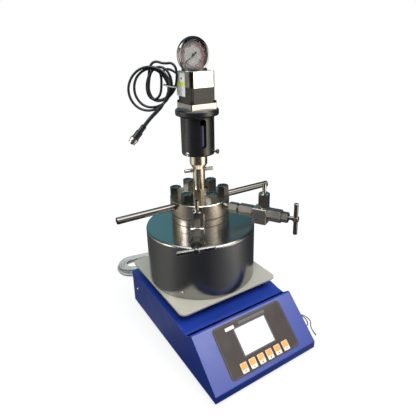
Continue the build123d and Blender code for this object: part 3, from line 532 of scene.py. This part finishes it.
M_KEYBASE = jacket_mat("key_film_pale", (0.80, 0.72, 0.60), 0.42, 0.2)
M_KEYTOP = jacket_mat("key_film_orange", (0.90, 0.36, 0.075), 0.36, 0.2)
M_MARK = jacket_mat("key_mark", (0.10, 0.055, 0.03), 0.5, 0.1)
M_LABEL = jacket_mat("blank_label", (0.82, 0.82, 0.80), 0.4, 0.1)
for i in range(6):
    kx = 1.5 + (i - 2.5) * 20.6
    put(f"key_{i + 1}", M_KEYBASE)

    def place(u, v, lift, kx=kx):
        return on_panel(kx + u, 90.0 - v, 1.6 + lift)
    top = [(u, v + 2.9) for u, v in rounded(12.6, 11.0, 1.6)]
    slab(f"key_{i + 1}_pad", top, place, 0.22, M_KEYTOP, f"key_{i + 1}_body", 0.00008)
    # a small plain mark under each pad
    shapes = [[(-1.9, -0.5), (1.9, -0.5), (1.9, 0.5), (-1.9, 0.5)], [(-1.7, -1.2), (1.7, -1.2), (0, 1.3)], [(-1.7, 1.2), (0, -1.3), (1.7, 1.2)]]
    ol = [(u, v - 5.9) for u, v in (shapes[i % 3] if i not in (2, 3) else rounded(3.0, 2.6, 1.2, 4))]
    if i % 3 == 2 and i not in (2, 3):
        ol = ol[::-1]
    slab(f"key_{i + 1}_mark", ol, place, 0.1, M_MARK, f"key_{i + 1}_body", 0)


def panel_place(cx, cs):
    return lambda u, v, lift: on_panel(cx + u, cs - v, 0.8 + lift)


slab("blank_label_plate", rounded(21, 6.2, 0.8), panel_place(-46.5, 15.5), 0.15, M_LABEL, bevel=0.00005)
M_STRIP = jacket_mat("overlay_strip", (0.10, 0.09, 0.08), 0.45, 0.1)
slab("blank_title_strip", rounded(66, 6.0, 1.0), panel_place(9, 13.2), 0.06, M_STRIP, bevel=0)
M_FRAME = jacket_mat("window_frame", (0.06, 0.055, 0.052), 0.4, 0.2)
wf_o, wf_i = rounded(79.6, 56.4, 1.6), rounded(75.4, 52.2, 0.6)


def ring_slab(name, outer, inner, place, thick, material, body="reactor"):
    n = len(outer)
    verts = [place(u, v, 0) for u, v in outer] + [place(u, v, 0) for u, v in inner] + [place(u, v, thick) for u, v in outer] + [place(u, v, thick) for u, v in inner]
    faces = []
    for i in range(n):
        j = (i + 1) % n
        faces += [(i, j, j + n, i + n), (i + 2 * n, i + 3 * n, j + 3 * n, j + 2 * n), (i, i + 2 * n, j + 2 * n, j), (i + n, j + n, j + 3 * n, i + 3 * n)]
    o = new_mesh(name, verts, faces, material, body, smooth=False)
    bm = bmesh.new()
    bm.from_mesh(o.data)
    bmesh.ops.recalc_face_normals(bm, faces=bm.faces)
    bm.to_mesh(o.data)
    bm.free()
    return o


ring_slab("window_frame", wf_o, wf_i, panel_place(-1.0, 46.4), 0.12, M_FRAME)
ring_slab("overlay_border", rounded(164.0, 93.8, 6.2), rounded(162.8, 92.6, 5.6), panel_place(0.8, 53.5), 0.05, M_STRIP)

M_BLACKP = jacket_mat("black_plastic", (0.018, 0.018, 0.020), 0.38, 0.35)
for n in ("power_switch", "mains_gland"):
    put(n, M_BLACKP)
M_PLUG, nt, p = mat("plug_black_and_ring", (0.02, 0.02, 0.022), 0.36)
e1 = T(*LEAD_TAIL[-1])
dt = (T(*LEAD_TAIL[-1]) - T(*LEAD_TAIL[-2])).normalized()
s = xyz(nt, mapping(nt, coord(nt), loc=tuple(-e1)))
along = math(nt, "ADD", math(nt, "ADD", math(nt, "MULTIPLY", s[0], dt.x), math(nt, "MULTIPLY", s[1], dt.y)), math(nt, "MULTIPLY", s[2], dt.z))
ring = to_range(nt, along, 0.0312, 0.0314, 0.0, 1.0)
nt.links.new(mixc(nt, ring, (0.018, 0.020, 0.023), (0.66, 0.62, 0.55)), p.inputs["Base Color"])
nt.links.new(ring, p.inputs["Metallic"])
nt.links.new(to_range(nt, noise(nt, coord(nt), 400.0, 3.0), 0.3, 0.7, 0.2, 0.4), p.inputs["Roughness"])
bump(nt, p, math(nt, "SINE", math(nt, "MULTIPLY", along, 4200.0)), 0.25, 0.0001)
put("motor_plug", M_PLUG)
put("mains_plug", jacket_mat("plug_plastic", (0.70, 0.69, 0.64), 0.4, 0.3))

# ------------------------------------------------------------------ plate, jacket, vessel
M_PLATE = paint("plate_enamel", (0.42, 0.405, 0.345), 0.34, 0.25, 0.2, 700.0, 0.9, 0.3)
put("top_plate", M_PLATE)
put("plate_posts", metal("post_steel", (0.25, 0.25, 0.25), 0.4))
M_SHEATH = metal("jacket_brushed", (0.38, 0.38, 0.37), 0.22, 0.93, 0.25, 2600.0, "wrap", 0.03)
put("jacket_shell", M_SHEATH)
# the heater sleeve is painted black so that its flange gives the dark ring at the jacket's foot: painted shadow in the
# gap between jacket and plate
put("heater_sleeve", paint("sleeve_black_painted_foot_shadow", (0.012, 0.012, 0.012), 0.6, 0.0))
M_TURN = metal("turned_steel", (0.74, 0.66, 0.55), 0.21, 0.92, 0.9, 2600.0, "turned", 0.05)
for n in ("vessel_body", "lid", "drive_neck", "gauge_riser"):
    put(n, M_TURN)
M_ROTOR = paint("rotor_blue_black", (0.010, 0.018, 0.050), 0.22, 0.6, 0.08, 900.0, 0.8, 0.15)
put("drive_rotor", M_ROTOR)
M_BRIGHT = metal("bright_steel", (0.56, 0.54, 0.50), 0.16, 0.88, 0.12, 700.0, "plain", 0.06)
M_SMOKY = metal("smoky_steel", (0.36, 0.345, 0.315), 0.20, 0.85, 0.2, 500.0, "plain", 0.05)
M_BAR = metal("bar_steel", (0.27, 0.255, 0.235), 0.26, 0.85, 0.15, 700.0, "plain", 0.05)
M_NUT = metal("nut_steel", (0.14, 0.145, 0.135), 0.30, 0.75, 0.25, 500.0, "plain", 0.06)
M_FIT = metal("fitting_steel", (0.26, 0.243, 0.212), 0.34, 0.85, 0.08, 500.0, "plain", 0.06)
M_ROD = metal("rod_steel", (0.15, 0.142, 0.128), 0.20, 0.88, 0.12, 700.0, "plain", 0.05)
put("handle_rods", M_ROD)
for n in ("valve_outlet_nuts", "valve_outlet_tubes", "front_valve_needle", "right_valve_needle", "stirrer_shaft",
          "button_screws", "sensor_socket", "sensor_probe"):
    put(n, M_BRIGHT)
for n in ("stud_bolts", "cooling_nipples"):
    put(n, M_SMOKY)
put("hex_nuts", M_NUT)
for n in ("valve_inlet_nuts", "valve_adapters", "valve_bonnets", "valve_gland_nuts"):
    put(n, M_FIT)
for n in ("front_valve_handle", "right_valve_handle", "thumb_screw"):
    put(n, M_BAR)
put("valve_bodies", metal("valve_body_steel", (0.50, 0.47, 0.42), 0.34, 0.85, 0.08, 500.0, "plain", 0.07))

# dark edge of the gasket between lid and flange; the same dark material also makes two thin rings that are painted
# shadow in the seams
M_GASKET_AND_SEAM_SHADOW = jacket_mat("gasket_edge", (0.015, 0.013, 0.012), 0.6, 0.2)


def flat_ring(name, r0, r1, z0, z1, material, n=96):
    verts, faces = [], []
    for i in range(n):
        a = 2 * pi * i / n
        for r, z in ((r0, z0), (r1, z0), (r1, z1), (r0, z1)):
            verts.append(T(r * cos(a), r * sin(a), z))
    for i in range(n):
        a, b = i * 4, ((i + 1) % n) * 4
        for k in range(4):
            faces.append((a + k, a + (k + 1) % 4, b + (k + 1) % 4, b + k))
    return new_mesh(name, verts, faces, material, smooth=False)


flat_ring("gasket_edge", 61.0, 64.05, 267.92, 268.48, M_GASKET_AND_SEAM_SHADOW)
# thin dark rings proud of the wall: painted shadow in the seam below the flange and in the seam between lid and flange
flat_ring("flange_seam_painted_shadow", 64.0, 64.36, 251.2, 252.8, M_GASKET_AND_SEAM_SHADOW)
flat_ring("lid_seam_painted_shadow", 64.0, 64.36, 267.2, 268.9, M_GASKET_AND_SEAM_SHADOW)

# ------------------------------------------------------------------ housing, motor
M_ANOD = paint("black_anodised", (0.012, 0.012, 0.015), 0.27, 0.2, 0.12, 1800.0, 0.8, 0.18)
put("coupling_housing", M_ANOD)
M_CAST = metal("motor_alloy", (0.62, 0.60, 0.56), 0.34, 0.92, 0.4, 800.0, "plain", 0.08)
put("motor_flange", M_CAST)
M_CAP, nt, p = mat("motor_cap_alloy", (0.8, 0.78, 0.72), 0.3, 1.0)
s = xyz(nt, coord(nt))
# thin dark ring of about 4.5 mm radius about each corner, seen as dark lines beside the chamfers: painted shade where
# the chamfers meet the faces
gx = math(nt, "SUBTRACT", math(nt, "ABSOLUTE", math(nt, "SUBTRACT", s[0], X0)), 0.0264)
gy = math(nt, "SUBTRACT", math(nt, "ABSOLUTE", math(nt, "SUBTRACT", s[1], Y0)), 0.0264)
chamfer_painted_shade = math(nt, "SQRT", math(nt, "ADD", math(nt, "MULTIPLY", gx, gx), math(nt, "MULTIPLY", gy, gy)))
cap_n = noise(nt, coord(nt), 20.0, 3.0)
nt.links.new(mixc(nt, to_range(nt, s[2], 0.5609, 0.5611, 0.0, 1.0), ramp(nt, cap_n, [(0.3, (0.74, 0.72, 0.66)), (0.7, (0.82, 0.80, 0.74))]), (0.12, 0.12, 0.115)), p.inputs["Base Color"])
cap_col = p.inputs["Base Color"].links[0].from_socket
nt.links.new(mixc(nt, to_range(nt, chamfer_painted_shade, 0.00445, 0.00465, 1.0, 0.0), cap_col, (0.03, 0.03, 0.03)), p.inputs["Base Color"])
nt.links.new(to_range(nt, noise(nt, coord(nt), 70.0, 3.0), 0.3, 0.7, 0.24, 0.38), p.inputs["Roughness"])
bump(nt, p, noise(nt, mapping(nt, coord(nt), (900, 900, 60)), 1.0, 3.0), 0.3, 0.00006)
put("motor_end_cap", M_CAP)
put("motor_screws", metal("dark_screws", (0.035, 0.035, 0.035), 0.4))
M_STAT, nt, p = mat("stator_laminations", (0.05, 0.047, 0.044), 0.45, 0.35)
s = xyz(nt, coord(nt))
lam = math(nt, "SINE", math(nt, "MULTIPLY", s[2], 2 * pi / 0.0010))
lamn = noise(nt, mapping(nt, coord(nt), (6, 6, 900)), 1.0, 2.0)
nt.links.new(ramp(nt, lamn, [(0.3, (0.030, 0.028, 0.026)), (0.75, (0.085, 0.080, 0.074))]), p.inputs["Base Color"])
nt.links.new(to_range(nt, lamn, 0.3, 0.7, 0.36, 0.55), p.inputs["Roughness"])
bump(nt, p, math(nt, "ADD", math(nt, "MULTIPLY", lam, 0.5), lamn), 0.5, 0.00012)
put("motor_stator", M_STAT)

# rating sticker on the left face, with plain colour bands only
M_STICK, nt, p = mat("motor_sticker", (0.8, 0.8, 0.8), 0.4, 0.0, 0.2, 0.2)
s = xyz(nt, coord(nt))
zz = to_range(nt, s[2], 0.513, 0.558, 0.0, 1.0)
zn = math(nt, "ADD", zz, to_range(nt, noise(nt, coord(nt), 60.0, 2.0), 0.0, 1.0, -0.012, 0.012))
nt.links.new(ramp(nt, zn, [(0.0, (0.86, 0.88, 0.90)), (0.40, (0.90, 0.92, 0.92)), (0.46, (0.86, 0.95, 0.20)), (0.60, (0.82, 0.92, 0.16)),
                           (0.64, (0.92, 0.93, 0.94)), (0.80, (0.84, 0.85, 0.86)), (1.0, (0.62, 0.62, 0.60))]), p.inputs["Base Color"])
bump(nt, p, noise(nt, coord(nt), 500.0, 3.0), 0.2, 0.00006)
slab("motor_sticker", rounded(34, 45, 1.0), lambda u, v, lift: T(-28.2 - lift, 12 + u, 535.5 + v), 0.14, M_STICK, bevel=0.00004)
M_DARKMARK = jacket_mat("sticker_mark", (0.05, 0.05, 0.05), 0.5, 0.1)
slab("motor_sticker_mark", rounded(7, 3.2, 1.2), lambda u, v, lift: T(-28.34 - lift, 8 + u, 547.5 + v), 0.05, M_DARKMARK, bevel=0)

# ------------------------------------------------------------------ gauge
GX, GZ, FACE_Y = 31.8, 587.0, 57.0
M_CHROME = metal("gauge_chrome", (0.62, 0.62, 0.60), 0.10, 0.85, 0.08, 400.0, "plain", 0.04)
put("gauge_case", M_CHROME)
M_BEZEL, nt, p = mat("bezel_chrome_painted_dark_top", (0.62, 0.62, 0.60), 0.12, 1.0)
s = xyz(nt, coord(nt))
# the upper part of the bezel is painted near-black by height: a painted dark reflection, while the lower sides stay
# bright chrome
bezel_painted_dark_top = to_range(nt, s[2], GZ / 1000 + 0.004, GZ / 1000 + 0.026, 0.0, 1.0)
nt.links.new(mixc(nt, bezel_painted_dark_top, (0.60, 0.60, 0.59), (0.010, 0.016, 0.022)), p.inputs["Base Color"])
nt.links.new(to_range(nt, noise(nt, coord(nt), 60.0, 3.0), 0.3, 0.7, 0.08, 0.18), p.inputs["Roughness"])
bump(nt, p, noise(nt, coord(nt), 600.0, 2.0), 0.08, 0.00005)
put("gauge_bezel", M_BEZEL)
M_DIAL, nt, p = mat("gauge_card", (0.62, 0.57, 0.57), 0.55)
c = mapping(nt, coord(nt), loc=tuple(-T(GX, 0, GZ)))
s = xyz(nt, c)
rr = math(nt, "SQRT", math(nt, "ADD", math(nt, "MULTIPLY", s[0], s[0]), math(nt, "MULTIPLY", s[2], s[2])))
base = ramp(nt, to_range(nt, rr, 0.0, 0.034, 0.0, 1.0), [(0.0, (0.20, 0.212, 0.20)), (0.55, (0.215, 0.21, 0.205)), (0.66, (0.125, 0.085, 0.092)), (0.86, (0.145, 0.108, 0.115)), (1.0, (0.16, 0.13, 0.135))])
nt.links.new(mixc(nt, to_range(nt, noise(nt, coord(nt), 90.0, 4.0), 0.35, 0.7, 0.0, 0.25), base, (0.15, 0.142, 0.14)), p.inputs["Base Color"])
bump(nt, p, noise(nt, coord(nt), 900.0, 2.0), 0.2, 0.00004)
put("gauge_dial", M_DIAL)
put("gauge_pointer", jacket_mat("pointer_black", (0.02, 0.02, 0.02), 0.4, 0.15))
M_GLASS, nt, p = mat("gauge_glass", (0.95, 0.97, 0.97), 0.03)
p.inputs["Transmission Weight"].default_value = 1.0
p.inputs["IOR"].default_value = 1.06
nt.links.new(to_range(nt, noise(nt, coord(nt), 80.0, 3.0), 0.4, 0.8, 0.0, 0.012), p.inputs["Roughness"])
put("gauge_glass", M_GLASS)
nodes["gauge_glass"].visible_shadow = False

DIAL_FRONT = FACE_Y + 7.0


def dial_pt(r, deg, lift):
    return T(GX + r * cos(radians(deg)), DIAL_FRONT - lift, GZ + r * sin(radians(deg)))


def arc_strip(name, r0, r1, a0, a1, lift, thick, material, n=40):
    verts, faces = [], []
    for i in range(n + 1):
        a = a0 + (a1 - a0) * i / n
        for r, l in ((r0, lift), (r1, lift), (r1, lift + thick), (r0, lift + thick)):
            verts.append(dial_pt(r, a, l))
    for i in range(n):
        for k in range(4):
            faces.append((i * 4 + k, i * 4 + (k + 1) % 4, i * 4 + 4 + (k + 1) % 4, i * 4 + 4 + k))
    faces += [(0, 3, 2, 1), (n * 4, n * 4 + 1, n * 4 + 2, n * 4 + 3)]
    return new_mesh(name, verts, faces, material, smooth=False)


M_INK = jacket_mat("dial_ink", (0.03, 0.03, 0.035), 0.5, 0.05)
M_RED = jacket_mat("dial_red", (0.28, 0.03, 0.035), 0.5, 0.05)
A_START, A_SPAN = 217.7, 255.4          # the scale runs clockwise from the lower left
verts, faces = [], []
for i in range(51):
    a = A_START - A_SPAN * i / 50
    big = i % 10 == 0
    mid = i % 5 == 0
    r0, r1, w = (25.2 if big else 26.4 if mid else 27.4), 29.6, (0.95 if big else 0.6 if mid else 0.3)
    ca, sa = cos(radians(a)), sin(radians(a))
    base_i = len(verts)
    for l in (0.02, 0.10):
        for r, t in ((r0, -w), (r1, -w), (r1, w), (r0, w)):
            verts.append(T(GX + r * ca - t * 0.6 * sa, DIAL_FRONT - l, GZ + r * sa + t * 0.6 * ca))
    b = base_i
    faces += [(b, b + 1, b + 2, b + 3), (b + 7, b + 6, b + 5, b + 4)] + [(b + k, b + 4 + k, b + 4 + (k + 1) % 4, b + (k + 1) % 4) for k in range(4)]
new_mesh("dial_ticks", verts, faces, M_INK, smooth=False)
arc_strip("dial_scale_line", 29.2, 30.1, A_START - A_SPAN, A_START, 0.02, 0.08, M_INK, 80)
arc_strip("dial_red_band", 21.6, 23.6, A_START - A_SPAN, 62.0, 0.02, 0.08, M_RED, 36)


def numeral(text, name, r, deg, size):
    cu = bpy.data.curves.new(name + "_t", "FONT")
    cu.body = text
    cu.size = size / 1000
    cu.align_x, cu.align_y = "CENTER", "CENTER"
    cu.extrude = 0.00004
    cu.offset = 0.00012
    cu.resolution_u = 3
    tmp = bpy.data.objects.new(name + "_t", cu)
    scene.collection.objects.link(tmp)
    dg = bpy.context.evaluated_depsgraph_get()
    me = bpy.data.meshes.new_from_object(tmp.evaluated_get(dg))
    bpy.data.objects.remove(tmp)
    at = dial_pt(r, deg, 0.1)
    rotm = Matrix(((1, 0, 0), (0, 0, -1), (0, 1, 0))).to_4x4()
    me.transform(Matrix.Translation(at) @ rotm)
    me.materials.clear()
    me.materials.append(M_INK)
    o = bpy.data.objects.new(name, me)
    scene.collection.objects.link(o)
    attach(o, "reactor")


for i in range(6):
    numeral(str(5 * i), f"dial_number_{i}", 19.6 if i in (0, 5) else 20.2, A_START - A_SPAN * i / 5, 6.8)

# ------------------------------------------------------------------ soft edges on the machined pieces
for n in ("hex_nuts", "valve_inlet_nuts", "valve_adapters", "valve_bodies", "valve_outlet_nuts", "valve_bonnets", "valve_gland_nuts",
          "motor_flange", "motor_end_cap", "motor_stator", "top_plate", "coupling_housing", "panel_overlay"):
    b = nodes[n].modifiers.new("soft_edge", "BEVEL")
    b.width = {"panel_overlay": 0.00015}.get(n, 0.0004)
    b.segments = 2
    b.limit_method = "ANGLE"
    b.angle_limit = radians(28)
    b.harden_normals = False

# ------------------------------------------------------------------ floor, light
# colours by compass direction round the object, in degrees from +X
LOW_STOPS = [(-180, (0.42, 0.43, 0.42)), (-166, (0.10, 0.11, 0.11)), (-140, (0.03, 0.035, 0.04)), (-108, (0.04, 0.045, 0.05)),
             (-86, (0.20, 0.18, 0.15)), (-72, (2.1, 1.90, 1.55)), (-57, (3.9, 3.55, 2.9)), (-42, (2.1, 1.90, 1.55)), (-28, (0.14, 0.13, 0.11)),
             (-12, (0.03, 0.035, 0.04)), (25, (0.03, 0.05, 0.06)), (60, (0.05, 0.10, 0.12)), (90, (0.06, 0.12, 0.14)),
             (108, (0.30, 0.31, 0.30)), (130, (0.45, 0.46, 0.44)), (150, (1.25, 1.15, 0.95)), (164, (1.25, 1.15, 0.95)), (180, (0.50, 0.48, 0.42))]
MID_STOPS = [(-180, (0.30, 0.30, 0.29)), (-164, (0.10, 0.10, 0.10)), (-140, (0.04, 0.05, 0.055)), (-110, (0.035, 0.04, 0.045)), (-88, (0.08, 0.08, 0.08)),
             (-72, (0.55, 0.53, 0.47)), (-57, (1.1, 1.05, 0.92)), (-44, (0.55, 0.53, 0.47)), (-28, (0.06, 0.07, 0.075)), (-5, (0.03, 0.05, 0.06)), (25, (0.05, 0.11, 0.13)),
             (52, (0.075, 0.18, 0.22)), (66, (0.16, 0.40, 0.48)), (90, (0.16, 0.38, 0.44)), (108, (0.08, 0.13, 0.14)), (128, (0.12, 0.13, 0.13)),
             (148, (0.85, 0.80, 0.70)), (164, (0.85, 0.80, 0.70)), (180, (0.30, 0.30, 0.29))]
UPPER_STOPS = [(-180, (0.05, 0.06, 0.065)), (-110, (0.04, 0.05, 0.055)), (-90, (0.25, 0.28, 0.33)), (-72, (8.0, 8.0, 8.4)), (-56, (10.5, 10.5, 11.0)),
               (-38, (8.0, 8.0, 8.4)), (-18, (0.15, 0.18, 0.22)), (10, (0.03, 0.06, 0.07)), (54, (0.05, 0.13, 0.17)), (90, (0.06, 0.14, 0.17)), (130, (0.05, 0.06, 0.065)),
               (180, (0.05, 0.06, 0.065))]
NEAR_STOPS = [(-180, (0.20, 0.20, 0.19)), (-166, (0.12, 0.12, 0.12)), (-140, (0.05, 0.052, 0.055)), (-112, (0.04, 0.042, 0.05)),
              (-84, (0.12, 0.12, 0.13)), (-68, (0.20, 0.21, 0.22)), (-54, (0.32, 0.315, 0.31)), (-34, (0.13, 0.135, 0.15)), (-12, (0.05, 0.055, 0.06)),
              (30, (0.05, 0.06, 0.07)), (90, (0.08, 0.09, 0.10)), (130, (0.11, 0.11, 0.11)), (156, (0.18, 0.18, 0.17)), (180, (0.20, 0.20, 0.19))]
SKY_STOPS = [(0.0, (0.05, 0.07, 0.08)), (0.9, (0.06, 0.08, 0.09)), (1.0, (0.12, 0.14, 0.15))]


def sectors(nt, angle, stops):
    """Colour by compass direction: stops are (degrees, colour)."""
    t = to_range(nt, angle, -pi, pi, 0.0, 1.0)
    return ramp(nt, t, [((a + 180) / 360, c) for a, c in stops])


floor_m, nt, p = mat("studio_floor", (0.92, 0.92, 0.92), 0.6)
bump(nt, p, noise(nt, coord(nt), 40.0, 3.0), 0.04, 0.0004)
s = xyz(nt, mapping(nt, coord(nt), loc=(-X0, -Y0, 0)))
ang = math(nt, "ARCTAN2", s[1], s[0])
dist = math(nt, "SQRT", math(nt, "ADD", math(nt, "MULTIPLY", s[0], s[0]), math(nt, "MULTIPLY", s[1], s[1])))
# what the camera sees: white, with a light contact shadow near the feet
em = nt.nodes.new("ShaderNodeEmission")
em.inputs["Strength"].default_value = 1.0
seen = nt.nodes.new("ShaderNodeMixShader")
nt.links.new(to_range(nt, dist, 0.45, 1.2, 0.72, 1.0), seen.inputs[0])
nt.links.new(p.outputs[0], seen.inputs[1])
nt.links.new(em.outputs[0], seen.inputs[2])
# what the metal reflects: a dim bench with the pools of two windows on it
pool = nt.nodes.new("ShaderNodeEmission")
nt.links.new(mixc(nt, to_range(nt, dist, 0.68, 1.05, 0.0, 1.0), sectors(nt, ang, NEAR_STOPS), sectors(nt, ang, LOW_STOPS)), pool.inputs["Color"])
pool.inputs["Strength"].default_value = 1.0
lp = nt.nodes.new("ShaderNodeLightPath")
mx = nt.nodes.new("ShaderNodeMixShader")
nt.links.new(lp.outputs["Is Camera Ray"], mx.inputs[0])
nt.links.new(pool.outputs[0], mx.inputs[1])
nt.links.new(seen.outputs[0], mx.inputs[2])
nt.links.new(mx.outputs[0], nt.nodes["Material Output"].inputs["Surface"])
me = bpy.data.meshes.new("studio_floor")
n_f = 64
me.from_pydata([(0, 0, -0.0002)] + [(14 * cos(2 * pi * i / n_f), 14 * sin(2 * pi * i / n_f), -0.0002) for i in range(n_f)], [],
               [(0, 1 + i, 1 + (i + 1) % n_f) for i in range(n_f)])
me.materials.append(floor_m)
floor = bpy.data.objects.new("studio_floor", me)
scene.collection.objects.link(floor)

world = bpy.data.worlds.new("studio")
scene.world = world
world.use_nodes = True
nt = world.node_tree
bg = nt.nodes["Background"]
out = nt.nodes["World Output"]
tc = nt.nodes.new("ShaderNodeTexCoord")
s = xyz(nt, tc.outputs["Generated"])
ang = math(nt, "ARCTAN2", s[1], s[0])
band = mixc(nt, to_range(nt, s[2], 0.03, 0.15, 0.0, 1.0), sectors(nt, ang, LOW_STOPS), sectors(nt, ang, MID_STOPS))
high = ramp(nt, to_range(nt, s[2], 0.0, 1.0, 0.0, 1.0), SKY_STOPS)
band = mixc(nt, to_range(nt, s[2], 0.56, 0.76, 0.0, 1.0), band, sectors(nt, ang, UPPER_STOPS))
sky = mixc(nt, to_range(nt, s[2], 0.82, 0.94, 0.0, 1.0), band, high)
nt.links.new(sky, bg.inputs["Color"])
bg.inputs["Strength"].default_value = 1.0
bg2 = nt.nodes.new("ShaderNodeBackground")
bg2.inputs["Color"].default_value = (1, 1, 1, 1)
bg2.inputs["Strength"].default_value = 1.0
lp = nt.nodes.new("ShaderNodeLightPath")
ms = nt.nodes.new("ShaderNodeMixShader")
nt.links.new(lp.outputs["Is Camera Ray"], ms.inputs[0])
nt.links.new(bg.outputs[0], ms.inputs[1])
nt.links.new(bg2.outputs[0], ms.inputs[2])
nt.links.new(ms.outputs[0], out.inputs["Surface"])


def area(name, at, size, power, look=(0, 0, 0.3), color=(1, 1, 1), size_y=None):
    ld = bpy.data.lights.new(name, "AREA")
    ld.shape = "RECTANGLE"
    ld.size = size
    ld.size_y = size_y or size
    ld.energy = power
    ld.color = color
    lo = bpy.data.objects.new(name, ld)
    scene.collection.objects.link(lo)
    at = Vector(at)
    lo.location = at
    lo.rotation_mode = "QUATERNION"
    lo.rotation_quaternion = (Vector(look) - at).to_track_quat("-Z", "Y")
    return lo


area("key_box", (-0.72, -0.92, 1.87), 0.9, 22, color=(1.0, 0.985, 0.96))
area("top_box", (0.1, 0.1, 2.1), 2.0, 27, color=(0.98, 0.99, 1.0))
area("left_box", (-1.7, 0.35, 0.95), 0.6, 9, color=(0.97, 0.985, 1.0))
